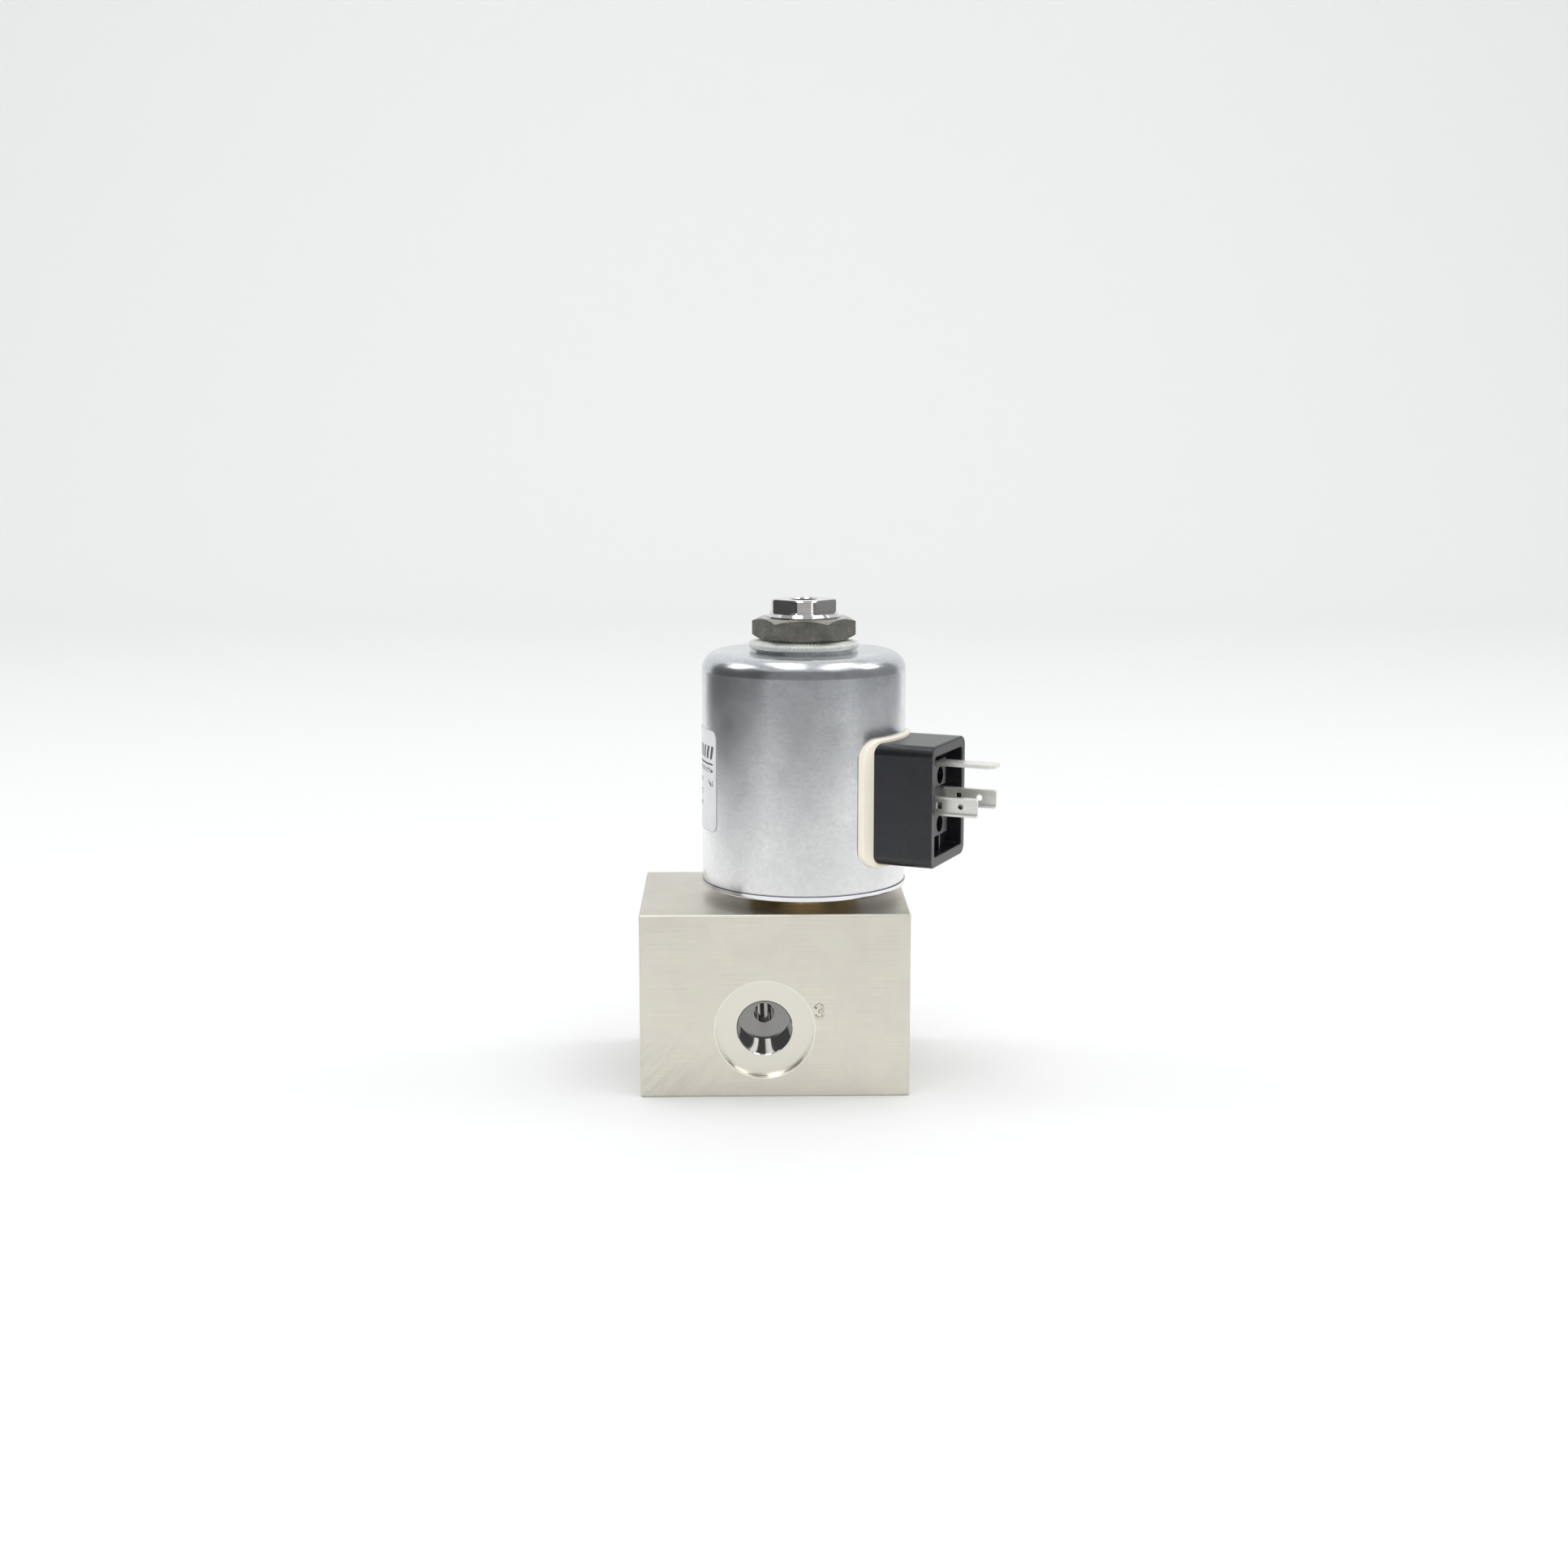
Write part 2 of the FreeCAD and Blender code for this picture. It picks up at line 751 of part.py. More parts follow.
def make_return_spring():
    """The spring between the armature and the fixed core."""
    wire = number("spring_wire_radius")
    radius = number("spring_coil_radius")
    height = number("spring_top - spring_bottom") - 2 * wire - 2 * number("rest_gap")
    helix = Part.makeHelix(height / number("spring_turns"), height, radius)
    section = Part.Wire(Part.Circle(Vector(radius, 0, 0), Vector(0, 1, 0), wire).toShape())
    coil = Part.Wire(helix).makePipeShell([section], True, True)
    spring = doc.addObject("Part::Feature", "return_spring_wire")
    spring.Shape = coil
    place(spring, x="axis_x", z="spring_bottom + spring_wire_radius + rest_gap")
    return sub_part(spring, "return_spring")


# ---------------------------------------------------------------- the plunger


def make_plunger():
    """The armature, its stem and the poppet with a seal on each side."""
    armature = turned(
        "armature_body",
        [
            ("stem_radius", "armature_bottom"),
            ("armature_radius - armature_chamfer", "armature_bottom"),
            ("armature_radius", "armature_bottom + armature_chamfer"),
            ("armature_radius", "armature_top - armature_chamfer"),
            ("armature_radius - armature_chamfer", "armature_top"),
            ("spring_pocket_radius", "armature_top"),
            ("spring_pocket_radius", "spring_bottom"),
            ("0", "spring_bottom"),
            ("0", "stem_top"),
            ("stem_radius", "stem_top"),
        ],
    )
    # Two grooves along the armature let the fluid pass it.
    grooves = new_sketch(armature, "groove_circles", "XY_Plane", z="armature_bottom")
    for side in ("-", ""):
        draw_circle(grooves, f"{side}armature_radius", "0", "armature_groove_radius")
    length = "armature_top - armature_bottom"
    extrude(armature, "Pocket", "grooves_cut", grooves, length, reverse=True)
    sub_part(armature, "armature")
    turned(
        "stem_body",
        [
            ("0", "poppet_top"),
            ("stem_radius", "poppet_top"),
            ("stem_radius", "stem_top"),
            ("0", "stem_top"),
        ],
        "valve_stem",
    )
    turned(
        "poppet_body",
        [
            ("0", "seal_pocket"),
            ("seal_radius", "seal_pocket"),
            ("seal_radius", "poppet_bottom"),
            ("poppet_radius", "poppet_bottom"),
            ("poppet_radius", "poppet_top"),
            ("upper_seal_radius", "poppet_top"),
            ("upper_seal_radius", "upper_seal_pocket"),
            ("stem_radius", "upper_seal_pocket"),
            ("stem_radius", "poppet_top"),
            ("0", "poppet_top"),
        ],
        "poppet",
    )
    turned(
        "lower_seal_body",
        [
            ("0", "seal_bottom"),
            ("seal_radius", "seal_bottom"),
            ("seal_radius", "seal_pocket"),
            ("0", "seal_pocket"),
        ],
        "lower_seal",
    )
    turned(
        "upper_seal_body",
        [
            ("stem_radius", "upper_seal_pocket"),
            ("upper_seal_radius", "upper_seal_pocket"),
            ("upper_seal_radius", "upper_seal_top"),
            ("stem_radius", "upper_seal_top"),
        ],
        "upper_seal",
    )


# ---------------------------------------------------------------- the coil


def rounded_bar(name, width, height, corner, start, end):
    """A body along the connector's X with a rounded rectangular section."""
    body = on_connector(name)
    sketch = new_sketch(body, f"{name}_section", "YZ_Plane", z=start)
    half = (f"{width} / 2", f"{height} / 2")
    draw_rectangle(sketch, f"-{half[0]}", f"-{half[1]}", *half)
    extrude(body, "Pad", f"{name}_pad", sketch, f"{end} - {start}")
    outwards = Vector(1, 0, 0)
    dress(body, "Fillet", f"{name}_corners", corner, lambda edge: is_along(edge, outwards))
    return body


def solid_cylinder(name, radius, bottom, top):
    """A plain cylinder about the solenoid's axis."""
    cylinder = doc.addObject("Part::Cylinder", name)
    bind(cylinder, Radius=radius, Height=f"{top} - {bottom}")
    return place(cylinder, x="axis_x", z=bottom)


def make_can():
    """The drawn steel can, with a rolled bead below and a window for the connector."""
    body = turned(
        "can_body",
        [
            ("can_radius - can_wall", "can_bottom"),
            ("can_bead_radius", "can_bottom"),
            ("can_bead_radius", "can_bead_top"),
            ("can_radius", "can_bead_top"),
            ("can_radius", "can_top"),
            ("land_radius", "can_top"),
            ("land_radius", "land_top"),
            ("seal_recess_radius", "land_top"),
            ("seal_recess_radius", "land_top - seal_recess_depth"),
            ("can_hole_radius", "land_top - seal_recess_depth"),
            ("can_hole_radius", "can_top - can_roof"),
            ("can_radius - can_wall", "can_top - can_roof"),
        ],
    )
    dress(
        body,
        "Fillet",
        "can_shoulder_fillet",
        "can_shoulder",
        lambda edge: is_ring(edge, "can_radius", "can_top"),
    )
    dress(
        body,
        "Fillet",
        "can_inner_fillet",
        "can_shoulder - can_wall",
        lambda edge: is_ring(edge, "can_radius - can_wall", "can_top - can_roof"),
    )
    dress(
        body,
        "Fillet",
        "can_bead_fillet",
        "can_bead_round",
        lambda edge: is_ring(edge, "can_bead_radius", "can_bottom"),
    )
    dress(
        body,
        "Fillet",
        "land_fillet",
        "(land_top - can_top) / 2",
        lambda edge: is_ring(edge, "land_radius", "land_top"),
    )
    window = rounded_bar(
        "window_tool", "window_width", "window_height", "window_corner", "neck_start", "collar_radius"
    )
    sub_part(boolean("Cut", "can_with_window", body, window), "coil_can")


def make_bottom_plate():
    """The steel plate that closes the can's bottom, with a recess for a ring."""
    turned(
        "bottom_plate_body",
        [
            ("seal_recess_radius", "can_bottom"),
            ("plate_radius", "can_bottom"),
            ("plate_radius", "plate_top"),
            ("can_hole_radius", "plate_top"),
            ("can_hole_radius", "can_bottom + seal_recess_depth"),
            ("seal_recess_radius", "can_bottom + seal_recess_depth"),
        ],
        "coil_bottom_plate",
    )
    low = "can_bottom + seal_recess_depth - coil_seal_minor - rest_gap"
    ring("coil_seal_low", "coil_seal_bottom", "coil_seal_major", "coil_seal_minor", low)
    high = "land_top - seal_recess_depth + coil_seal_minor + rest_gap"
    ring("coil_seal_high", "coil_seal_top", "coil_seal_major", "coil_seal_minor", high)


def make_bobbin_and_winding():
    """The plastic bobbin and the copper winding on it."""
    turned(
        "bobbin_body",
        [
            ("bobbin_bore_radius", "bobbin_bottom"),
            ("bobbin_flange_radius", "bobbin_bottom"),
            ("bobbin_flange_radius", "bobbin_bottom + bobbin_flange"),
            ("bobbin_barrel_radius", "bobbin_bottom + bobbin_flange"),
            ("bobbin_barrel_radius", "bobbin_top - bobbin_flange"),
            ("bobbin_flange_radius", "bobbin_top - bobbin_flange"),
            ("bobbin_flange_radius", "bobbin_top"),
            ("bobbin_bore_radius", "bobbin_top"),
        ],
        "coil_bobbin",
    )
    turned(
        "winding_body",
        [
            ("bobbin_barrel_radius", "bobbin_bottom + bobbin_flange"),
            ("winding_radius", "bobbin_bottom + bobbin_flange"),
            ("winding_radius", "bobbin_top - bobbin_flange"),
            ("bobbin_barrel_radius", "bobbin_top - bobbin_flange"),
        ],
        "coil_winding",
    )


def lead_rods(name, grow):
    """Two straight leads from the winding to the power blades."""
    rods = []
    for index, side in enumerate(("-", "")):
        body = on_connector(f"{name}_{index}")
        sketch = new_sketch(body, f"{name}_{index}_circle", "YZ_Plane", z="lead_start")
        across = f"{side}power_blade_across + power_blade_flange / 2 - blade_sheet"
        draw_circle(sketch, across, "0", f"lead_radius + {grow}")
        extrude(body, "Pad", f"{name}_{index}_pad", sketch, "lead_end - lead_start")
        rods.append(body)
    return fuse(name, rods)


def make_collar_flange():
    """The part of the resin that stands on the can, following it, with a soft rim."""
    body = rounded_bar(
        "resin_flange",
        "collar_width",
        "collar_height",
        "collar_corner",
        "neck_start",
        "collar_radius",
    )
    high = "collar_height"
    for name, inner, outer in (
        ("flange_top", "collar_radius", "can_radius + neck_start"),
        ("flange_foot", "0", "can_radius + collar_fit"),
    ):
        sketch = new_sketch(body, f"{name}_outline", "XZ_Plane")
        draw_rectangle(sketch, inner, f"-{high}", outer, high)
        revolve(body, "Groove", f"{name}_cut", sketch)
    dress(
        body,
        "Fillet",
        "flange_rim",
        "collar_round",
        lambda edge: all(
            abs(math.hypot(spot.x, spot.y) - number("collar_radius")) < NEAR
            for spot in edge.discretize(5)
        ),
    )
    return body


def make_resin():
    """The cast resin: a sleeve round the winding, and the collar round the connector."""
    sleeve = turned(
        "resin_sleeve",
        [
            ("resin_inner_radius", "bobbin_bottom"),
            ("resin_radius", "bobbin_bottom"),
            ("resin_radius", "resin_top"),
            ("resin_inner_radius", "resin_top"),
        ],
    )
    neck = rounded_bar(
        "resin_neck",
        "(window_width - 2 * window_fit)",
        "(window_height - 2 * window_fit)",
        "window_corner - window_fit",
        "neck_start",
        "collar_radius",
    )
    limit = solid_cylinder("neck_limit", "collar_radius - collar_round", "can_bottom", "can_top")
    short_neck = boolean("Common", "short_neck", neck, limit)
    raw = fuse("resin_raw", [sleeve, short_neck, make_collar_flange()])
    root = rounded_bar(
        "connector_root_tool",
        "connector_width",
        "connector_height",
        "connector_corner",
        "connector_root",
        "connector_face",
    )
    pocketed = boolean("Cut", "resin_pocketed", raw, root)
    resin = boolean("Cut", "resin_with_leads", pocketed, lead_rods("lead_holes", "lead_fit"))
    return sub_part(resin, "coil_resin")


def make_connector_base():
    """The black plug base, with a recess, an island, two core holes and blade slots."""
    body = rounded_bar(
        "plug_base_body",
        "connector_width",
        "connector_height",
        "connector_corner",
        "connector_root",
        "connector_face",
    )
    outwards = Vector(1, 0, 0)
    dress(body, "Fillet", "face_round", "face_round", lambda edge: is_at(edge, "connector_face"))
    recess = new_sketch(body, "recess_section", "YZ_Plane", z="connector_face")
    side = "connector_width / 2 - frame_side"
    end = "connector_height / 2 - frame_end"
    draw_rectangle(recess, f"-({side})", f"-({end})", side, end)
    extrude(body, "Pocket", "recess_cut", recess, "recess_depth")
    dress(
        body,
        "Fillet",
        "recess_corners",
        "recess_corner",
        lambda edge: is_along(edge, outwards) and is_long(edge, "recess_depth"),
    )
    dress(
        body,
        "Chamfer",
        "recess_edge",
        "recess_edge",
        lambda edge: is_at(edge, "connector_face") and abs(edge.CenterOfMass.y) < number(side) + NEAR,
    )
    floor = "connector_face - recess_depth"
    rise = "recess_depth - island_drop"
    for name, width, low, high in (
        ("upper_island", "upper_island_width", "upper_island_bottom", "upper_island_top"),
        ("lower_island", "lower_island_width", "lower_island_bottom", "lower_island_top"),
        ("rib", "rib_width", f"-({end})", "lower_island_bottom"),
    ):
        section = new_sketch(body, f"{name}_section", "YZ_Plane", z=floor)
        draw_rectangle(section, f"-{width} / 2", low, f"{width} / 2", high)
        extrude(body, "Pad", f"{name}_pad", section, rise)
    drop = "connector_face - island_drop"
    hole = new_sketch(body, "upper_core_circle", "YZ_Plane", z=drop)
    draw_circle(hole, "0", "upper_core_z", "upper_core_hole")
    extrude(body, "Pocket", "upper_core_cut", hole, "core_hole_depth")
    insert = new_sketch(body, "insert_circle", "YZ_Plane", z=drop)
    draw_circle(insert, "0", "insert_z", "insert_radius")
    extrude(body, "Pocket", "insert_cut", insert, "insert_length")
    slots = new_sketch(body, "blade_slots", "YZ_Plane", z=drop)
    high = "power_blade_height / 2"
    for side in ("-", ""):
        edge = f"{side}power_blade_across"
        draw_rectangle(slots, edge, f"-{high}", f"{edge} + power_blade_flange", high)
    half = "earth_blade_width / 2"
    draw_rectangle(slots, f"-{half}", "earth_blade_z", half, "earth_blade_z + earth_blade_sheet")
    extrude(body, "Pocket", "blade_slots_cut", slots, f"{drop} - power_blade_root")
    holes = lead_rods("connector_lead_holes", "lead_fit")
    return sub_part(boolean("Cut", "plug_base_with_leads", body, holes), "connector_base")


def make_power_blade(name, side, label):
    """A flat pin folded into a shallow channel that opens towards the front."""
    body = on_connector(name)
    sketch = new_sketch(body, f"{name}_section", "YZ_Plane", z="power_blade_root")
    edge = f"{side}power_blade_across"
    web = f"{edge} + power_blade_flange"
    half = "power_blade_height / 2"
    inner = f"{half} - blade_sheet"
    draw_outline(
        sketch,
        [
            (edge, f"-{half}"),
            (web, f"-{half}"),
            (web, half),
            (edge, half),
            (edge, inner),
            (f"{web} - blade_sheet", inner),
            (f"{web} - blade_sheet", f"-({inner})"),
            (edge, f"-({inner})"),
        ],
    )
    extrude(body, "Pad", f"{name}_pad", sketch, "power_blade_tip - power_blade_root")
    reach = f"-({edge}) + power_blade_flange"
    holes = new_sketch(body, f"{name}_holes", "XZ_Plane", z=reach)
    draw_circle(holes, "power_blade_tip - blade_hole_from_tip", "0", "blade_hole_radius")
    slot = "power_blade_tip - blade_slot_from_tip"
    half = ("blade_slot_length / 2", "blade_slot_height / 2")
    draw_rectangle(holes, f"{slot} - {half[0]}", f"-{half[1]}", f"{slot} + {half[0]}", half[1])
    extrude(body, "Pocket", f"{name}_holes_cut", holes, "3 * power_blade_flange")
    return sub_part(body, label)


def make_earth_blade():
    """The flat earth pin, above the power pins, with its tip's corners cut off."""
    body = on_connector("earth_blade_body")
    sketch = new_sketch(body, "earth_outline", "XY_Plane", z="earth_blade_z")
    half = "earth_blade_width / 2"
    cut = "earth_blade_chamfer"
    draw_outline(
        sketch,
        [
            ("power_blade_root", f"-{half}"),
            (f"earth_blade_tip - {cut}", f"-{half}"),
            ("earth_blade_tip", f"-{half} + {cut}"),
            ("earth_blade_tip", f"{half} - {cut}"),
            (f"earth_blade_tip - {cut}", half),
            ("power_blade_root", half),
        ],
    )
    extrude(body, "Pad", "earth_pad", sketch, "earth_blade_sheet")
    return sub_part(body, "earth_blade")


def make_screw_insert():
    """The threaded brass insert for the plug's fixing screw."""
    body = on_connector("screw_insert_body")
    start = "connector_face - island_drop - insert_length"
    sketch = new_sketch(body, "screw_insert_section", "YZ_Plane", z=start)
    draw_circle(sketch, "0", "insert_z", "insert_radius")
    draw_circle(sketch, "0", "insert_z", "insert_bore_radius")
    extrude(body, "Pad", "screw_insert_pad", sketch, "insert_length - insert_drop")
    return sub_part(body, "plug_screw_insert")


def make_type_label():
    """The thin label stuck round the can's left side."""
    outer = doc.addObject("Part::Cylinder", "label_outer")
    inner = doc.addObject("Part::Cylinder", "label_inner")
    skin = "can_radius + label_fit"
    bind(outer, Radius=f"{skin} + label_sheet", Height="label_top - label_bottom", Angle="label_arc")
    bind(inner, Radius=skin, Height="label_top - label_bottom")
    place(outer, x="axis_x", z="label_bottom", turn="label_start")
    place(inner, x="axis_x", z="label_bottom")
    return sub_part(boolean("Cut", "label_sheet_arc", outer, inner), "type_label")


# ---------------------------------------------------------------- washer and nut


def make_washer():
    """The serrated spring washer, slightly coned."""
    turned(
        "washer_body",
        [
            ("washer_bore_radius", "washer_bottom + washer_rise"),
            ("washer_radius", "washer_bottom"),
            ("washer_radius", "washer_bottom + washer_sheet"),
            ("washer_bore_radius", "washer_bottom + washer_sheet + washer_rise"),
        ],
        "coil_washer",
    )


def make_nut():
    """The hexagon nut that clamps the coil, chamfered on both sides."""
    prism = doc.addObject("Part::Prism", "nut_prism")
    prism.Polygon = 6
    corner = f"nut_flats / {2 * math.cos(math.pi / 6):.6f}"
    bind(prism, Circumradius=corner, Height="nut_height")
    bottom = "washer_bottom + washer_sheet + washer_rise"
    place(prism, x="axis_x", z=bottom, turn="nut_turn")
    top = f"{bottom} + nut_height"
    blank = turned(
        "nut_blank",
        [
            ("tube_radius + thread_fit", bottom),
            ("nut_chamfer_radius", bottom),
            ("nut_blank_radius", f"{bottom} + nut_chamfer"),
            ("nut_blank_radius", f"{top} - nut_chamfer"),
            ("nut_chamfer_radius", top),
            ("tube_radius + thread_fit", top),
        ],
    )
    return sub_part(boolean("Common", "nut_shape", prism, blank), "coil_nut")


# ---------------------------------------------------------------- build, check, write


def make_all():
    """Builds every sub-part of the valve."""
    make_block()
    make_tube_base()
    make_guide_tube()
    make_fixed_core()
    make_seats()
    make_return_spring()
    make_plunger()
    make_can()
    make_bottom_plate()
    make_bobbin_and_winding()
    make_resin()
    make_connector_base()
    make_power_blade("front_blade", "-", "power_blade_front")
    make_power_blade("rear_blade", "", "power_blade_rear")
    make_earth_blade()
    sub_part(lead_rods("lead_wires", "0"), "coil_leads")
    make_screw_insert()
    make_type_label()
    make_washer()
    make_nut()


def check():
    """Stops the build when an object has failed or a sub-part has no sound shape."""
    doc.recompute()
    for thing in doc.Objects:
        if {"Invalid", "Error"} & set(thing.State):
            raise RuntimeError(f"{thing.Name} failed: {thing.State}")
    for part in SUB_PARTS:
        if part.Shape.isNull() or not part.Shape.isValid() or not part.Shape.Solids:
            raise RuntimeError(f"{part.Label} has no sound shape")


def write():
    """Writes each sub-part to a STEP file under its own name."""
    os.makedirs("parts", exist_ok=True)
    for part in SUB_PARTS:
        part.Shape.exportStep(f"parts/{part.Label}.step")
        box = part.Shape.BoundBox
        print(f"{part.Label:20s} {len(part.Shape.Solids)} {part.Shape.Volume:10.1f} mm3", box)


make_all()
check()
write()
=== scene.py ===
import json
import math

import bmesh
import bpy
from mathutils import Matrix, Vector


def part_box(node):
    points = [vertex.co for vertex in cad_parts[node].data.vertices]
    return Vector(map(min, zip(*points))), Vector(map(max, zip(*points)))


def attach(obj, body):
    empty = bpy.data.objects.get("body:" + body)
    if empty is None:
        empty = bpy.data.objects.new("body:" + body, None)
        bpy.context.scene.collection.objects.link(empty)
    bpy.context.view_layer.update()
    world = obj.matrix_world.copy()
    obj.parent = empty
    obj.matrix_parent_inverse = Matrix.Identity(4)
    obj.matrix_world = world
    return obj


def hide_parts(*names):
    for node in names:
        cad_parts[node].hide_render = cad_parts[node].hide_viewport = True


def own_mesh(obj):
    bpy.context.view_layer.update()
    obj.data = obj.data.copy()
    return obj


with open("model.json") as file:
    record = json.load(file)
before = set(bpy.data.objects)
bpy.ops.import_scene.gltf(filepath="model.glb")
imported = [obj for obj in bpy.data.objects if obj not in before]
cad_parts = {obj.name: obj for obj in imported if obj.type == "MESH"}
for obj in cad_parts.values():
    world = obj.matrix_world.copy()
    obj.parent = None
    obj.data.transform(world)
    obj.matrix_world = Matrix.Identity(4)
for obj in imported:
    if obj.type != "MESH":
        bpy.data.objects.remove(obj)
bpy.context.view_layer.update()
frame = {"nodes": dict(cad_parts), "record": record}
nodes = frame["nodes"]

MM = 0.001
CAN_LOW, CAN_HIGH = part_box("coil_can")
BLOCK_LOW, BLOCK_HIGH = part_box("valve_block")
NUT_LOW, NUT_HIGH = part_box("coil_nut")
AXIS_X = (NUT_LOW.x + NUT_HIGH.x) / 2
MOUNTS = {mount["name"]: mount for mount in frame["record"]["mounts"]}

# The type label on the can, in millimetres and radians about the solenoid's axis.
LABEL_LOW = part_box("type_label")[0].z / MM
LABEL_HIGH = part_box("type_label")[1].z / MM
LABEL_RADIUS = (AXIS_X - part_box("type_label")[0].x) / MM - 0.2
LABEL_START = math.radians(126.0)
LABEL_END = math.radians(211.0)


# ---------------------------------------------------------------- camera, floor, light


def make_camera():
    """The camera, almost square to the front and looking slightly down."""
    bpy.context.scene.view_settings.view_transform = "Standard"
    data = bpy.data.cameras.new("camera")
    data.sensor_width = 36.0
    data.lens = 49.52
    data.clip_start = 0.01
    data.clip_end = 20.0
    camera = bpy.data.objects.new("camera", data)
    bpy.context.scene.collection.objects.link(camera)
    camera.location = (-0.00837, -0.52651, 0.16232)
    pitch_down = 0.16913
    turn_right = 0.02094
    camera.rotation_euler = (math.pi / 2 - pitch_down, 0.0, -turn_right)
    bpy.context.scene.camera = camera


def make_light(name, size, power, place, target, colour=(1.0, 1.0, 1.0)):
    """A rectangular soft box that shines from a place towards a target."""
    data = bpy.data.lights.new(name, "AREA")
    data.shape = "RECTANGLE"
    data.size, data.size_y = size
    data.energy = power
    data.color = colour
    light = bpy.data.objects.new(name, data)
    bpy.context.scene.collection.objects.link(light)
    light.location = place
    aim = Vector(target) - Vector(place)
    light.rotation_euler = aim.to_track_quat("-Z", "Y").to_euler()
    return light


def make_gleam(name, size, power, place, target, node):
    """A soft box that shows only in the reflections of one CAD node."""
    light = make_light(name, size, power, place, target)
    light.visible_camera = False
    light.visible_diffuse = False
    receivers = bpy.data.collections.new(name + "_receivers")
    receivers.objects.link(nodes[node])
    light.light_linking.receiver_collection = receivers


def make_lights():
    """Soft boxes at both sides, ceiling strips, gleams from the front and a lit backdrop."""
    middle = (AXIS_X, 0.0, 0.06)
    head = (AXIS_X, 0.0, 0.112)
    make_light("soft_box_left", (0.3, 0.5), 1.6, (-0.9, 0.15, 0.85), middle, (0.97, 0.985, 1.0))
    make_light("soft_box_right", (0.35, 0.5), 1.6, (0.9, 0.1, 0.85), middle, (1.0, 0.99, 0.97))
    strip = (0.26, 0.7)
    forward = -0.1
    height = 1.0
    for name, across in (("ceiling_strip_left", -0.16), ("ceiling_strip_right", 0.4)):
        light = make_light(name, strip, 1.5, (across, forward, height), (across, forward, 0.0))
        light.rotation_euler = (0.0, math.atan2(across - AXIS_X, height), 0.0)
    # A fill from the front, which shows in no reflection.
    fill = make_light("front_fill", (1.0, 1.0), 2.5, (0.1, -1.3, 1.1), middle)
    fill.visible_glossy = False
    # These show only in the block's polished bores and turned edges.
    for name, width, power, across in (
        ("front_strip_left", 0.16, 0.75, -0.11),
        ("front_strip_right", 0.11, 0.52, 0.24),
    ):
        make_gleam(name, (width, 0.5), power, (across, -0.97, 0.34), (across, 0.0, 0.34), "valve_block")
    # These show only in the turned front corner of the core's square head.
    for name, width, power, across in (
        ("head_glow", 0.4, 0.036, 0.0),
        ("head_line_left", 0.05, 0.022, -0.23),
        ("head_line_right", 0.05, 0.022, 0.23),
    ):
        place = (AXIS_X + across, -0.45, 0.04)
        make_gleam(name, (width, 0.1), power, place, head, "fixed_core")
    make_light("backdrop_wash", (2.4, 0.3), 4.3, (0.0, 0.7, 1.5), (0.0, 1.8, 0.5))


def make_world():
    """An even, pale room."""
    world = bpy.data.worlds.new("studio")
    world.use_nodes = True
    bpy.context.scene.world = world
    background = world.node_tree.nodes["Background"]
    background.inputs["Color"].default_value = (0.985, 0.99, 1.0, 1.0)
    background.inputs["Strength"].default_value = 0.81


def make_dark_cards():
    """Cards round the front, at the sides and above, which show only in reflections.

    They lie on the floor from an inner edge outwards, and stand up at their outer edge."""
    left, right, front, back = -0.4, 0.5, -0.42, 0.6
    outer = 1.0
    outer_back = 0.8
    ceiling_back = 0.9
    low = 0.002
    heights = (0.9, 1.3, 1.3, 0.9)
    ceiling = 1.45
    inner_line = [(left, back), (left, front), (right, front), (right, back)]
    outer_line = [(-outer, outer_back), (-outer, -outer), (outer, -outer), (outer, outer_back)]
    points = [(x, y, low) for x, y in inner_line]
    points += [(x, y, low) for x, y in outer_line]
    points += [(x, y, high) for (x, y), high in zip(outer_line, heights)]
    corners = len(inner_line)
    faces = []
    for ring in (0, corners):
        for index in range(corners - 1):
            faces.append((ring + index, ring + index + 1, ring + corners + index + 1, ring + corners + index))
    first = len(points)
    for x, y in ((-outer, -outer), (outer, -outer), (outer, ceiling_back), (-outer, ceiling_back)):
        points.append((x, y, ceiling))
    faces.append((first, first + 1, first + 2, first + 3))
    mesh = bpy.data.meshes.new("dark_cards")
    mesh.from_pydata(points, [], faces)
    cards = bpy.data.objects.new("dark_cards", mesh)
    bpy.context.scene.collection.objects.link(cards)
    cards.visible_camera = False
    cards.visible_diffuse = False
    cards.visible_shadow = False
    cards.visible_transmission = False
    greys = (("card_left", 0.08), ("card_front", 0.2), ("card_right", 0.24), ("card_above", 0.5))
    for name, grey in greys:
        material = bpy.data.materials.new(name)
        material.use_nodes = True
        shader = material.node_tree.nodes["Principled BSDF"]
        shader.inputs["Base Color"].default_value = (grey, grey, grey * 1.03, 1.0)
        shader.inputs["Roughness"].default_value = 1.0
        shader.inputs["Specular IOR Level"].default_value = 0.0
        mesh.materials.append(material)
    for face in mesh.polygons:
        face.material_index = face.index % (corners - 1)
    mesh.polygons[len(faces) - 1].material_index = len(greys) - 1


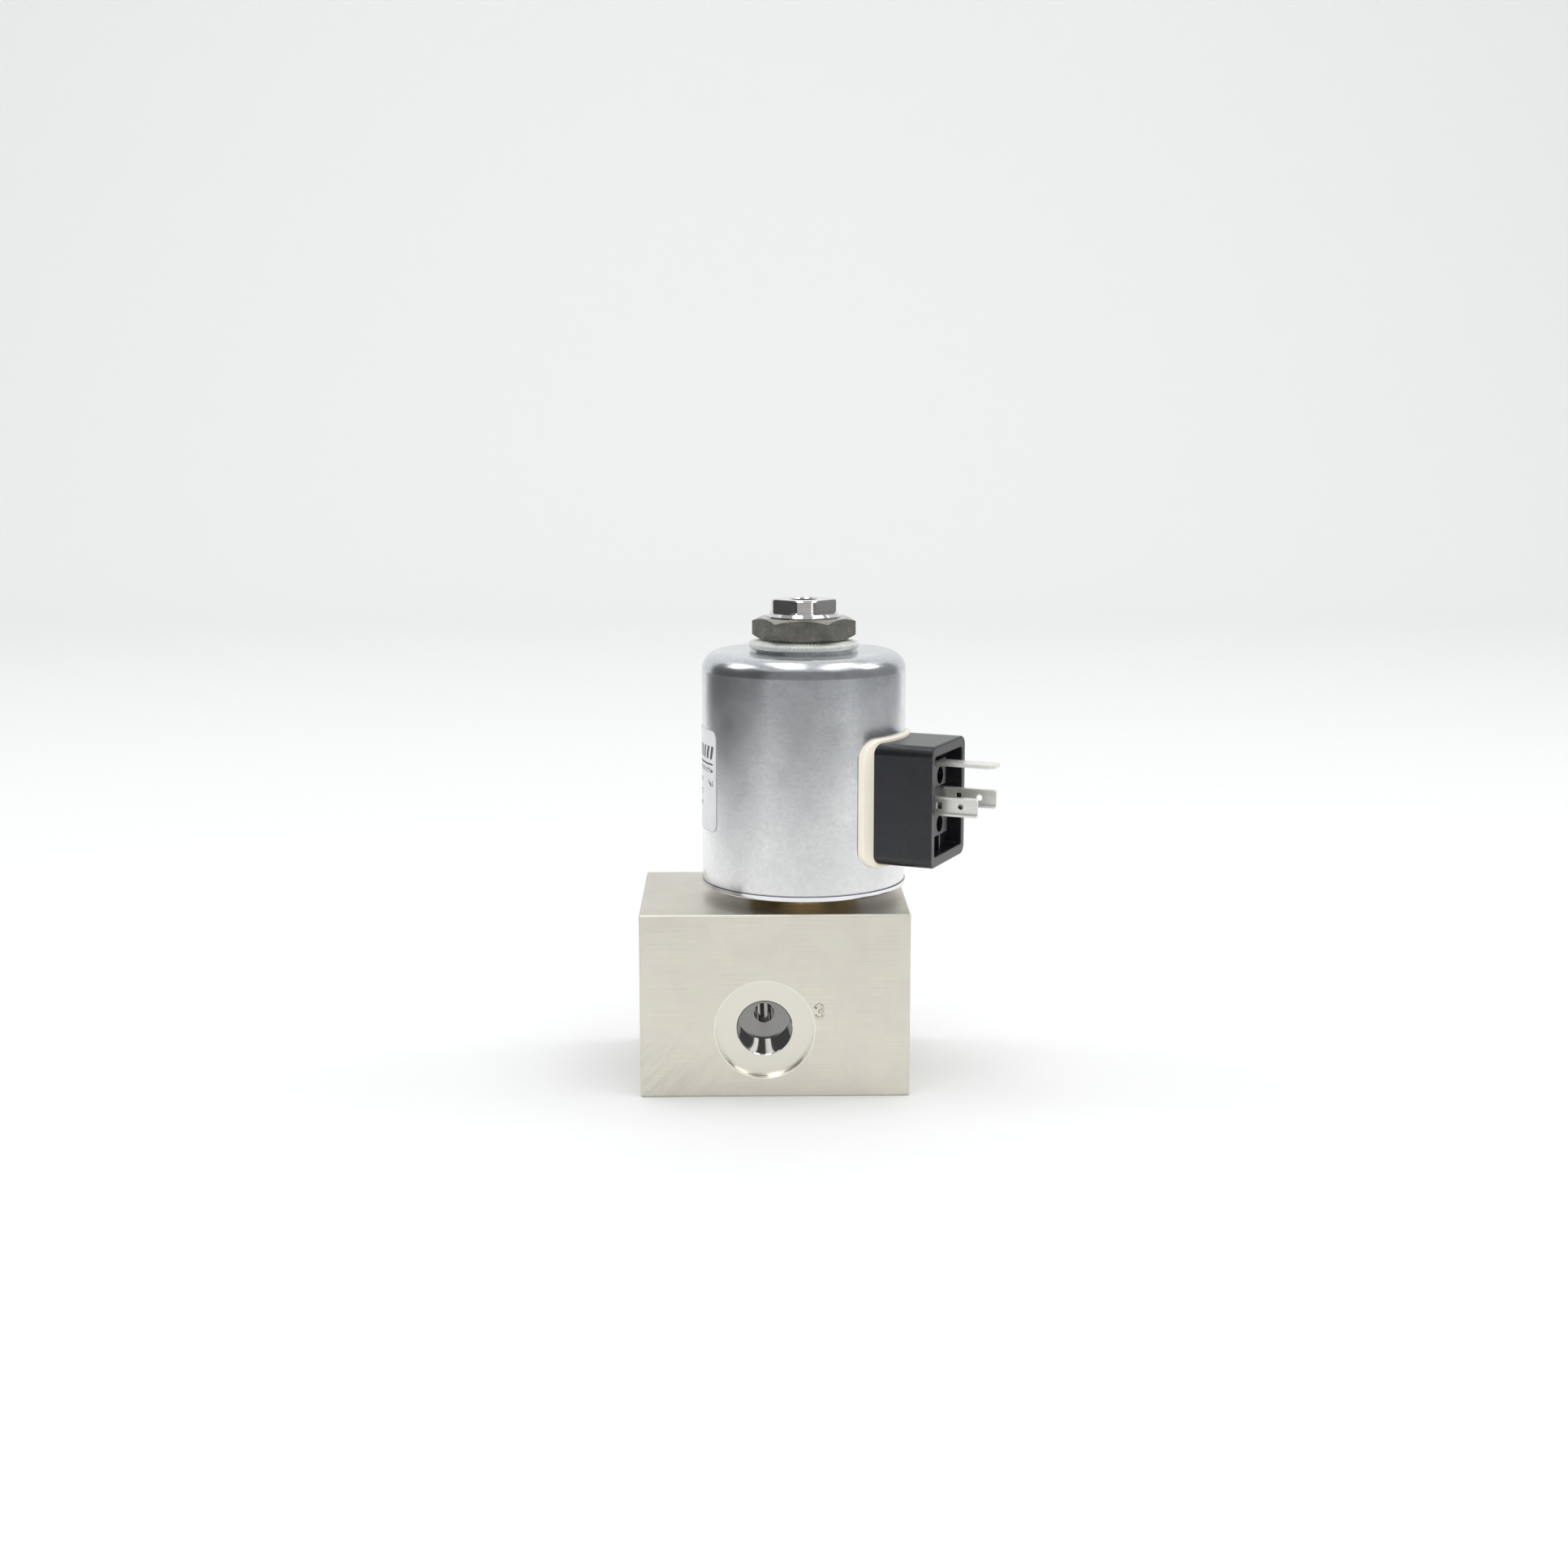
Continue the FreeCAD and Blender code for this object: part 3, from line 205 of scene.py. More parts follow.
def make_floor():
    """A wide pale floor that curves up behind the object into a backdrop."""
    width = 6.0
    front = -3.0
    back = 1.2
    bend = 0.6
    height = 2.5
    steps = 24
    line = [(front, 0.0), (back, 0.0)]
    for step in range(1, steps + 1):
        angle = math.pi / 2 * step / steps
        line.append((back + bend * math.sin(angle), bend - bend * math.cos(angle)))
    line.append((back + bend, height))
    mesh = bpy.data.meshes.new("floor")
    points = [(side * width / 2, y, z) for y, z in line for side in (-1, 1)]
    faces = [(2 * i, 2 * i + 1, 2 * i + 3, 2 * i + 2) for i in range(len(line) - 1)]
    mesh.from_pydata(points, [], faces)
    for face in mesh.polygons:
        face.use_smooth = True
    floor = bpy.data.objects.new("floor", mesh)
    bpy.context.scene.collection.objects.link(floor)
    material = bpy.data.materials.new("floor_paper")
    material.use_nodes = True
    shader = material.node_tree.nodes["Principled BSDF"]
    shader.inputs["Base Color"].default_value = (0.85, 0.855, 0.85, 1.0)
    shader.inputs["Roughness"].default_value = 0.75
    mesh.materials.append(material)


# ---------------------------------------------------------------- material helpers


class Finish:
    """One procedural material, built on object coordinates in millimetres."""

    def __init__(self, name, metallic=0.0):
        self.material = bpy.data.materials.new(name)
        self.material.use_nodes = True
        self.tree = self.material.node_tree
        self.shader = self.tree.nodes["Principled BSDF"]
        self.shader.inputs["Metallic"].default_value = metallic
        where = self.add("ShaderNodeTexCoord")
        self.mm = self.vector("MULTIPLY", where.outputs["Object"], (1000.0, 1000.0, 1000.0))
        self.normal = where.outputs["Normal"]

    def add(self, kind, **settings):
        """A new node with its settings."""
        node = self.tree.nodes.new(kind)
        for name, value in settings.items():
            setattr(node, name, value)
        return node

    def feed(self, socket, value):
        """Links a socket to a node's output, or sets it to a plain value."""
        if isinstance(value, bpy.types.NodeSocket):
            self.tree.links.new(value, socket)
        elif hasattr(value, "__len__") and socket.type == "RGBA" and len(value) == 3:
            socket.default_value = (*value, 1.0)
        else:
            socket.default_value = value

    def math(self, operation, first, second=0.0):
        """The result of one sum."""
        node = self.add("ShaderNodeMath", operation=operation)
        self.feed(node.inputs[0], first)
        self.feed(node.inputs[1], second)
        return node.outputs[0]

    def below(self, value, limit):
        """1 where a value is below a limit, and 0 elsewhere."""
        return self.math("LESS_THAN", value, limit)

    def between(self, value, low, high):
        """1 where a value is between two limits, and 0 elsewhere."""
        return self.math("MULTIPLY", self.math("GREATER_THAN", value, low), self.below(value, high))

    def vector(self, operation, first, second):
        """The result of one vector sum."""
        node = self.add("ShaderNodeVectorMath", operation=operation)
        self.feed(node.inputs[0], first)
        self.feed(node.inputs[1], second)
        return node.outputs["Vector"]

    def split(self, vector):
        """The three parts of a vector."""
        node = self.add("ShaderNodeSeparateXYZ")
        self.feed(node.inputs[0], vector)
        return node.outputs

    def join(self, x, y, z):
        """A vector made of three numbers."""
        node = self.add("ShaderNodeCombineXYZ")
        for socket, value in zip(node.inputs, (x, y, z)):
            self.feed(socket, value)
        return node.outputs[0]

    def noise(self, where, scale=1.0, detail=3.0, roughness=0.5, distortion=0.0):
        """Noise from 0 to 1, with features about 1 / scale across."""
        node = self.add("ShaderNodeTexNoise")
        self.feed(node.inputs["Vector"], where)
        self.feed(node.inputs["Scale"], scale)
        self.feed(node.inputs["Detail"], detail)
        self.feed(node.inputs["Roughness"], roughness)
        self.feed(node.inputs["Distortion"], distortion)
        return node.outputs["Fac"]

    def span(self, value, low, high, to_low=0.0, to_high=1.0):
        """A value carried from one range to another, and kept inside it."""
        node = self.add("ShaderNodeMapRange")
        for name, number in (
            ("Value", value),
            ("From Min", low),
            ("From Max", high),
            ("To Min", to_low),
            ("To Max", to_high),
        ):
            self.feed(node.inputs[name], number)
        return node.outputs["Result"]

    def mix(self, share, first, second):
        """A colour between two colours."""
        node = self.add("ShaderNodeMix", data_type="RGBA")
        self.feed(node.inputs["Factor"], share)
        self.feed(node.inputs[6], first)
        self.feed(node.inputs[7], second)
        return node.outputs[2]

    def blend(self, share, first, second):
        """A number between two numbers."""
        node = self.add("ShaderNodeMix", data_type="FLOAT")
        self.feed(node.inputs["Factor"], share)
        self.feed(node.inputs[2], first)
        self.feed(node.inputs[3], second)
        return node.outputs[0]

    def bump(self, height, depth_mm, strength=1.0):
        """Relief of a given depth, from a height of 0 to 1."""
        node = self.add("ShaderNodeBump")
        self.feed(node.inputs["Height"], height)
        node.inputs["Distance"].default_value = depth_mm * MM
        node.inputs["Strength"].default_value = strength
        self.tree.links.new(node.outputs[0], self.shader.inputs["Normal"])

    def finish(self, colour, roughness):
        """Sets the colour and the roughness, and gives the material back."""
        self.feed(self.shader.inputs["Base Color"], colour)
        self.feed(self.shader.inputs["Roughness"], roughness)
        return self.material


def stretched(finish, x, y, z):
    """Object coordinates in millimetres, scaled unevenly to draw out a grain."""
    return finish.vector("MULTIPLY", finish.mm, (x, y, z))


def slanted(finish, along, across):
    """Object coordinates in millimetres, turned 45 degrees in X and Z and drawn out."""
    x, y, z = finish.split(finish.mm)
    rising = finish.math("MULTIPLY", finish.math("ADD", x, z), along)
    falling = finish.math("MULTIPLY", finish.math("SUBTRACT", x, z), across)
    return finish.join(rising, finish.math("MULTIPLY", y, along), falling)


# ---------------------------------------------------------------- materials


def port_masks(finish):
    """Masks of the spotfaces, bores, bore ends (for painted shade) and spotface rims (for a painted
    highlight), and the distance from the axis.

    They are told apart by their depth below a side face and their distance from a port's axis."""
    face_slack = 0.3
    spot_depth = (0.5, 2.15)
    bore_depth = (1.9, 30.0)
    end_depth = 14.9
    spot_radius = 12.3
    rim_radius = 12.2
    bore_slack = 0.25
    x, y, z = finish.split(finish.mm)
    spot = bore = end = rim = rings = 0.0
    for name, across, along, sign in (
        ("port_1", y, x, -1.0),
        ("port_2", y, x, 1.0),
        ("port_3", x, y, -1.0),
    ):
        centre = [value / MM for value in MOUNTS[name]["pos_m"]]
        radius = MOUNTS[name]["dims"]["r_mm"]
        if along is x:
            offset, face = centre[1], BLOCK_HIGH.x / MM
        else:
            offset, face = centre[0], BLOCK_HIGH.y / MM
        beside = finish.math("SUBTRACT", across, offset)
        above = finish.math("SUBTRACT", z, centre[2])
        squares = [finish.math("MULTIPLY", side, side) for side in (beside, above)]
        distance = finish.math("SQRT", finish.math("ADD", *squares))
        depth = finish.math("SUBTRACT", face, finish.math("MULTIPLY", along, sign))
        in_spot = finish.below(distance, spot_radius)
        one_spot = finish.math("MULTIPLY", finish.between(depth, *spot_depth), in_spot)
        in_bore = finish.below(distance, radius + bore_slack)
        one_bore = finish.math("MULTIPLY", finish.between(depth, *bore_depth), in_bore)
        one_end = finish.math("MULTIPLY", one_bore, finish.math("GREATER_THAN", depth, end_depth))
        at_face = finish.below(finish.math("ABSOLUTE", depth), face_slack)
        one_rim = finish.math("MULTIPLY", at_face, finish.below(distance, rim_radius))
        spot = finish.math("MAXIMUM", spot, one_spot)
        bore = finish.math("MAXIMUM", bore, one_bore)
        end = finish.math("MAXIMUM", end, one_end)
        rim = finish.math("MAXIMUM", rim, one_rim)
        rings = finish.math("ADD", rings, finish.math("MULTIPLY", distance, one_spot))
    return spot, bore, end, rim, rings


def stamped_mask(finish):
    """A mask of the stamped numbers, and of whatever else lies just under a side face."""
    x, y, z = finish.split(finish.mm)
    half_x = BLOCK_HIGH.x / MM
    half_y = BLOCK_HIGH.y / MM
    half_height = BLOCK_HIGH.z / MM / 2
    digit_depth = (0.03, 0.6)
    edge = 0.5
    edge_above = 1.0
    mask = 0.0
    for along, half, across, reach in ((y, half_y, x, half_x), (x, half_x, y, half_y)):
        depth = finish.math("SUBTRACT", half, finish.math("ABSOLUTE", along))
        inside = finish.below(finish.math("ABSOLUTE", across), reach - edge)
        one = finish.math("MULTIPLY", finish.between(depth, *digit_depth), inside)
        mask = finish.math("MAXIMUM", mask, one)
    from_middle = finish.math("ABSOLUTE", finish.math("SUBTRACT", z, half_height))
    return finish.math("MULTIPLY", mask, finish.below(from_middle, half_height - edge_above))


def block_finish():
    """Fine ground steel, with turned spotfaces and polished bores, painted shade deep in the bores and a
    painted highlight round the spotface rims.
    """
    finish = Finish("ground_steel", metallic=1.0)
    normal = finish.split(finish.normal)
    sideways = finish.math("GREATER_THAN", finish.math("ABSOLUTE", normal[0]), 0.7)
    along_x = stretched(finish, 0.06, 6.0, 6.0)
    along_y = stretched(finish, 6.0, 0.06, 6.0)
    grain_x = finish.noise(along_x, 1.0, 4.0, 0.6)
    grain_y = finish.noise(along_y, 1.0, 4.0, 0.6)
    grain = finish.blend(sideways, grain_x, grain_y)
    clouds = finish.noise(finish.mm, 0.05, 3.0, 0.55)
    specks = finish.noise(finish.mm, 3.5, 2.0, 0.6)
    spot, bore, bore_end_shade, rim, rings = port_masks(finish)
    wall_from = 11.9
    turning_pitch = 0.25
    wall = finish.math("GREATER_THAN", rings, wall_from)
    stamped = stamped_mask(finish)
    bright = finish.math("MAXIMUM", finish.math("MAXIMUM", bore, wall), stamped)
    shade = finish.span(grain, 0.3, 0.7)
    ground = finish.mix(shade, (0.68, 0.645, 0.575), (0.80, 0.765, 0.675))
    ground = finish.mix(finish.span(clouds, 0.35, 0.7, 0.0, 0.35), ground, (0.86, 0.82, 0.725))
    stains = finish.noise(finish.mm, 0.11, 4.0, 0.6, 0.4)
    ground = finish.mix(finish.span(stains, 0.45, 0.7, 0.0, 0.5), ground, (0.71, 0.655, 0.60))
    ground = finish.mix(finish.span(specks, 0.68, 0.8, 0.0, 0.3), ground, (0.55, 0.53, 0.47))
    # Faint slanting smudges at the lower left, from handling.
    smudges = finish.noise(slanted(finish, 0.09, 0.45), 1.0, 3.0, 0.6)
    x, _, z = finish.split(finish.mm)
    corner = finish.math("MULTIPLY", finish.span(x, -10.0, -26.0), finish.span(z, 20.0, 6.0))
    smudges = finish.math("MULTIPLY", finish.span(smudges, 0.45, 0.7), corner)
    ground = finish.mix(finish.math("MULTIPLY", smudges, 0.5), ground, (0.55, 0.53, 0.47))
    # Painted highlight: a thin ring at the rim of each spotface, where it meets the side face, is coloured
    # near white.
    ground = finish.mix(finish.math("MULTIPLY", rim, 0.8), ground, (0.97, 0.95, 0.90))
    colour = finish.mix(spot, ground, (0.76, 0.725, 0.655))
    # Painted shade: the far end of each bore, deep in the block, is coloured dark grey.
    colour = finish.mix(bore, colour, finish.mix(bore_end_shade, (0.78, 0.77, 0.75), (0.27, 0.265, 0.255)))
    rough = finish.span(grain, 0.25, 0.75, 0.34, 0.46)
    rough = finish.blend(spot, rough, 0.24)
    rough = finish.blend(bright, rough, 0.07)
    turning = finish.math("SINE", finish.math("MULTIPLY", rings, 2 * math.pi / turning_pitch))
    turning = finish.span(turning, -1.0, 1.0, 0.3, 0.7)
    relief = finish.blend(spot, grain, turning)
    relief = finish.blend(bright, relief, 0.5)
    finish.bump(relief, 0.004, 0.5)
    return finish.finish(colour, rough)


def can_finish():
    """Bright zinc plating on drawn sheet, frosty and finely speckled, bluish near the shoulder."""
    finish = Finish("bright_zinc", metallic=1.0)
    clouds = finish.noise(finish.mm, 0.07, 4.0, 0.55, 0.3)
    frost = finish.noise(finish.mm, 1.1, 4.0, 0.65)
    specks = finish.noise(finish.mm, 2.6, 1.0, 0.5)
    colour = finish.mix(finish.span(clouds, 0.3, 0.72), (0.73, 0.74, 0.75), (0.98, 0.98, 0.975))
    z = finish.split(finish.mm)[2]
    height = finish.span(z, CAN_LOW.z / MM, CAN_HIGH.z / MM)
    frosty = finish.span(frost, 0.36, 0.64, 0.0, finish.blend(height, 0.2, 0.55))
    colour = finish.mix(frosty, colour, (0.60, 0.615, 0.63))
    colour = finish.mix(finish.span(specks, 0.66, 0.74, 0.0, 0.7), colour, (0.97, 0.98, 0.98))
    rough = finish.span(clouds, 0.3, 0.7, 0.21, 0.25)
    rough = finish.math("ADD", rough, finish.span(frost, 0.3, 0.7, 0.0, 0.03))
    tint = finish.mix(height, (1.0, 0.985, 0.975), (0.955, 0.98, 1.0))
    colour = finish.vector("MULTIPLY", colour, tint)
    # The rolled bead is brighter than the wall, and the dark line above it is painted shade in the crease
    # over the bead.
    bead_height = 1.25
    crease_shade_height = 1.6
    crease_shade = finish.below(z, CAN_LOW.z / MM + crease_shade_height)
    bead = finish.below(z, CAN_LOW.z / MM + bead_height)
    colour = finish.mix(crease_shade, colour, (0.42, 0.43, 0.46))
    colour = finish.mix(bead, colour, (0.84, 0.845, 0.87))
    rough = finish.blend(bead, rough, 0.16)
    finish.bump(finish.blend(bead, frost, 0.5), 0.008, 1.0)
    return finish.finish(colour, rough)


def turned_metal(name, dark, light, rough):
    """Metal turned on a lathe about the solenoid's axis, with fine rings."""
    finish = Finish(name, metallic=1.0)
    pitch = 0.28
    rings = finish.noise(stretched(finish, 0.02, 0.02, 1.0 / pitch), 1.0, 3.0, 0.6)
    clouds = finish.noise(finish.mm, 0.4, 3.0, 0.6)
    shade = finish.math("ADD", finish.math("MULTIPLY", rings, 0.5), finish.math("MULTIPLY", clouds, 0.5))
    colour = finish.mix(finish.span(shade, 0.35, 0.65), dark, light)
    roughness = finish.span(clouds, 0.3, 0.7, rough * 0.8, rough * 1.25)
    finish.bump(rings, 0.004, 0.5)
    return finish.finish(colour, roughness)


def plated_nut():
    """Nickel plate on milled flats, dark and faintly olive, with bright handling marks."""
    finish = Finish("nickel_plate", metallic=1.0)
    milled = finish.noise(stretched(finish, 0.3, 0.3, 5.0), 1.0, 3.0, 0.6)
    clouds = finish.noise(finish.mm, 0.35, 4.0, 0.6)
    marks = finish.noise(stretched(finish, 2.2, 2.2, 1.2), 1.0, 2.0, 0.7)
    colour = finish.mix(finish.span(clouds, 0.3, 0.7), (0.38, 0.375, 0.33), (0.52, 0.51, 0.45))
    colour = finish.mix(finish.span(marks, 0.66, 0.74, 0.0, 0.8), colour, (0.85, 0.84, 0.78))
    rough = finish.span(clouds, 0.3, 0.7, 0.16, 0.26)
    rough = finish.math("ADD", rough, finish.span(marks, 0.66, 0.74, 0.0, 0.25))
    finish.bump(milled, 0.004, 0.4)
    return finish.finish(colour, rough)


def zinc_washer():
    """Dull pale zinc plate."""
    finish = Finish("dull_zinc", metallic=0.55)
    clouds = finish.noise(finish.mm, 0.6, 4.0, 0.6)
    colour = finish.mix(finish.span(clouds, 0.3, 0.7), (0.80, 0.82, 0.79), (0.90, 0.92, 0.89))
    finish.bump(finish.noise(finish.mm, 4.0, 2.0, 0.6), 0.01, 0.5)
    return finish.finish(colour, finish.span(clouds, 0.3, 0.7, 0.44, 0.56))


def plated_sheet():
    """Tin plate on thin brass pins."""
    finish = Finish("tin_plate", metallic=0.65)
    clouds = finish.noise(finish.mm, 0.35, 3.0, 0.5)
    colour = finish.mix(finish.span(clouds, 0.3, 0.7), (0.84, 0.83, 0.78), (0.92, 0.91, 0.87))
    return finish.finish(colour, finish.span(clouds, 0.3, 0.7, 0.27, 0.34))


def moulded_plastic(name, dark, light, rough, coat=0.0, sheen=0.5):
    """Moulded plastic with a fine erosion grain and slight flow marks."""
    finish = Finish(name)
    flow = finish.noise(finish.mm, 0.15, 3.0, 0.6, 0.5)
    skin = finish.noise(finish.mm, 4.8, 3.0, 0.6)
    colour = finish.mix(finish.span(flow, 0.3, 0.7), dark, light)
    roughness = finish.span(skin, 0.3, 0.7, rough * 0.88, rough * 1.12)
    finish.bump(skin, 0.012, 0.5)
    finish.shader.inputs["Specular IOR Level"].default_value = sheen
    if coat:
        finish.shader.inputs["Coat Weight"].default_value = coat
        finish.shader.inputs["Coat Roughness"].default_value = 0.25
    return finish.finish(colour, roughness)


def wound_copper():
    """Enamelled wire, layer on layer."""
    finish = Finish("enamelled_copper", metallic=1.0)
    wire = 0.45
    z = finish.split(finish.mm)[2]
    wires = finish.math("ABSOLUTE", finish.math("SINE", finish.math("MULTIPLY", z, math.pi / wire)))
    clouds = finish.noise(finish.mm, 0.5, 3.0, 0.6)
    colour = finish.mix(finish.span(clouds, 0.3, 0.7), (0.42, 0.13, 0.05), (0.62, 0.25, 0.11))
    finish.bump(wires, 0.2, 1.0)
    return finish.finish(colour, finish.span(clouds, 0.3, 0.7, 0.25, 0.4))


def label_film():
    """Pale film with plain bars, a rule and rows of illegible print, in place of the maker's text."""
    finish = Finish("label_film")
    x, y, z = finish.split(finish.mm)
    angle = finish.math("ARCTAN2", y, finish.math("SUBTRACT", x, AXIS_X / MM))
    around = finish.math("MULTIPLY", angle, LABEL_RADIUS)
    turned_back = finish.below(angle, 0.0)
    whole_turn = 2 * math.pi * LABEL_RADIUS
    around = finish.math("ADD", around, finish.math("MULTIPLY", turned_back, whole_turn))
    from_end = finish.math("SUBTRACT", LABEL_END * LABEL_RADIUS, around)
    below_top = finish.math("SUBTRACT", LABEL_HIGH, z)
    margin = 1.6
    width = (LABEL_END - LABEL_START) * LABEL_RADIUS

    def print_row(top, height, left, right, letter, seed):
        """A row of small print, with the marks about one letter wide."""
        area = finish.between(below_top, top, top + height)
        area = finish.math("MULTIPLY", area, finish.between(from_end, left, right))
        where = finish.join(finish.math("DIVIDE", from_end, letter), finish.math("DIVIDE", z, height), seed)
        marks = finish.math("GREATER_THAN", finish.noise(where, 1.6, 1.0, 0.5), 0.5)
        return finish.math("MULTIPLY", area, marks)

    far_side = width - margin
    rule = finish.between(below_top, 8.0, 8.45)
    ink = finish.math("MULTIPLY", rule, finish.between(from_end, margin, far_side))
    # Each row's top, height, left end, right end, letter width and noise seed.
    rows = (
        (9.2, 1.1, margin, far_side, 0.8, 5.0),
        (12.2, 1.4, margin, 4.2, 0.9, 9.0),
        (12.2, 1.1, 9.0, far_side, 0.8, 13.0),
        (15.2, 1.1, 9.0, far_side, 0.8, 17.0),
        (18.2, 1.1, 9.0, 24.0, 0.8, 21.0),
    )
    for row in rows:
        ink = finish.math("MAXIMUM", ink, print_row(*row))
    # Bold slanting bars above the rule.
    pitch = 2.3
    lean = 0.3
    bar_count = 6
    across = finish.math("SUBTRACT", from_end, finish.math("MULTIPLY", below_top, lean))
    wave = finish.math("SINE", finish.math("MULTIPLY", across, 2 * math.pi / pitch))
    bars = finish.math("GREATER_THAN", wave, -0.1)
    bars = finish.math("MULTIPLY", bars, finish.between(below_top, 3.8, 7.0))
    bars = finish.math("MULTIPLY", bars, finish.between(across, -0.2, (bar_count - 0.4) * pitch))
    ink = finish.math("MAXIMUM", ink, bars)
    clouds = finish.noise(finish.mm, 0.2, 3.0, 0.6)
    film = finish.mix(finish.span(clouds, 0.3, 0.7), (0.70, 0.71, 0.72), (0.77, 0.78, 0.785))
    finish.bump(finish.noise(finish.mm, 5.0, 2.0, 0.5), 0.004, 0.4)
    return finish.finish(finish.mix(ink, film, (0.05, 0.05, 0.055)), finish.blend(ink, 0.3, 0.45))


def rounded_loop(half_width, half_height, radius, per_side, per_corner):
    """Points round a rounded rectangle, with the same count whatever its size."""
    points = []
    inner = (half_width - radius, half_height - radius)
    corners = ((1, 1), (-1, 1), (-1, -1), (1, -1))
    for corner, (side_x, side_y) in enumerate(corners):
        centre = (side_x * inner[0], side_y * inner[1])
        start = corner * math.pi / 2
        for step in range(per_corner + 1):
            angle = start + math.pi / 2 * step / per_corner
            points.append((centre[0] + radius * math.cos(angle), centre[1] + radius * math.sin(angle)))
        last = points[-1]
        next_sides = corners[(corner + 1) % len(corners)]
        turn = start + math.pi / 2
        goal = (
            next_sides[0] * inner[0] + radius * math.cos(turn),
            next_sides[1] * inner[1] + radius * math.sin(turn),
        )
        for step in range(1, per_side):
            share = step / per_side
            points.append((last[0] + (goal[0] - last[0]) * share, last[1] + (goal[1] - last[1]) * share))
    return points


def link_loops(mesh, loops, close):
    """Quads between neighbouring loops of bmesh points."""
    for lower, upper in zip(loops, loops[1:]):
        count = len(lower)
        for index in range(count if close else count - 1):
            after = (index + 1) % count
            mesh.faces.new((lower[index], lower[after], upper[after], upper[index]))


def new_piece(name, mesh, material, body, replaced):
    """A finished Blender piece that stands for a CAD node."""
    data = bpy.data.meshes.new(name)
    mesh.to_mesh(data)
    mesh.free()
    for face in data.polygons:
        face.use_smooth = True
    data.materials.append(material)
    piece = bpy.data.objects.new(name, data)
    bpy.context.scene.collection.objects.link(piece)
    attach(piece, body)
    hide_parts(replaced)
    return piece


def make_label():
    """The type label: a thin film round the can, with round corners and a raised rim."""
    half_width = (LABEL_END - LABEL_START) / 2 * LABEL_RADIUS
    half_height = (LABEL_HIGH - LABEL_LOW) / 2
    middle_angle = (LABEL_START + LABEL_END) / 2
    middle_height = (LABEL_LOW + LABEL_HIGH) / 2
    corner = 2.2
    film = 0.12
    rim = 0.26
    profile = (
        (0.0, 0.0),
        (0.0, film),
        (0.25, film),
        (0.45, rim),
        (0.75, rim),
        (0.95, film),
        (2.0, film),
        (5.0, film),
        (9.0, film),
        (half_height - 0.3, film),
    )
    back = [(inset, 0.0) for inset, height in reversed(profile[2:])]
    mesh = bmesh.new()
    loops = []
    for inset, height in [*profile, *back]:
        radius = max(corner - inset, 0.05)
        outline = rounded_loop(half_width - inset, half_height - inset, radius, 24, 6)
        loop = []
        for along, up in outline:
            angle = middle_angle + along / LABEL_RADIUS
            reach = (LABEL_RADIUS + height) * MM
            place = (
                AXIS_X + reach * math.cos(angle),
                reach * math.sin(angle),
                (middle_height + up) * MM,
            )
            loop.append(mesh.verts.new(place))
        loops.append(loop)
    front_last = len(profile) - 1
    link_loops(mesh, loops[: front_last + 1], close=True)
    link_loops(mesh, loops[front_last + 1 :], close=True)
    link_loops(mesh, [loops[-1], loops[0]], close=True)
    for inner in (loops[front_last], loops[front_last + 1]):
        mesh.faces.new(inner)
    bmesh.ops.recalc_face_normals(mesh, faces=mesh.faces)
    bmesh.ops.triangulate(mesh, faces=[face for face in mesh.faces if len(face.verts) > 4])
    return new_piece("label_sheet", mesh, label_film(), "coil", "type_label")


def make_washer():
    """The spring washer with its ring of fine radial teeth on the upper side."""
    low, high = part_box("coil_washer")
    outer = (high.x - low.x) / 2
    bore = 9.15 * MM
    sheet = 1.4 * MM
    rise = high.z - low.z - sheet
    teeth = 84
    per_tooth = 6
    tooth = 0.28 * MM
    bevel = 0.12 * MM
    toothed_from = bore + 1.2 * MM
    profile = (
        (bore, 0.0, 0.0),
        (outer - bevel, 0.0, 0.0),
        (outer, bevel, 0.0),
        (outer, sheet - bevel, 0.5),
        (outer - bevel, sheet, 1.0),
        (outer - 1.3 * MM, sheet, 1.0),
        (toothed_from, sheet, 1.0),
        (bore + 0.6 * MM, sheet, 0.0),
        (bore, sheet, 0.0),
    )
    mesh = bmesh.new()
    count = teeth * per_tooth
    slant = 0.5
    loops = []
    for radius, height, share in profile:
        cone = rise * (outer - radius) / (outer - bore)
        loop = []
        for index in range(count):
            angle = 2 * math.pi * index / count
            lean = slant * (outer - radius) / (outer - bore) * 4
            phase = (index / per_tooth + lean) % 1.0
            drop = tooth * share * abs(2 * phase - 1)
            z = low.z + cone + height - drop
            loop.append(mesh.verts.new((AXIS_X + radius * math.cos(angle), radius * math.sin(angle), z)))
        loops.append(loop)
    link_loops(mesh, [*loops, loops[0]], close=True)
    bmesh.ops.recalc_face_normals(mesh, faces=mesh.faces)
    return new_piece("lock_washer", mesh, zinc_washer(), "valve_body", "coil_washer")


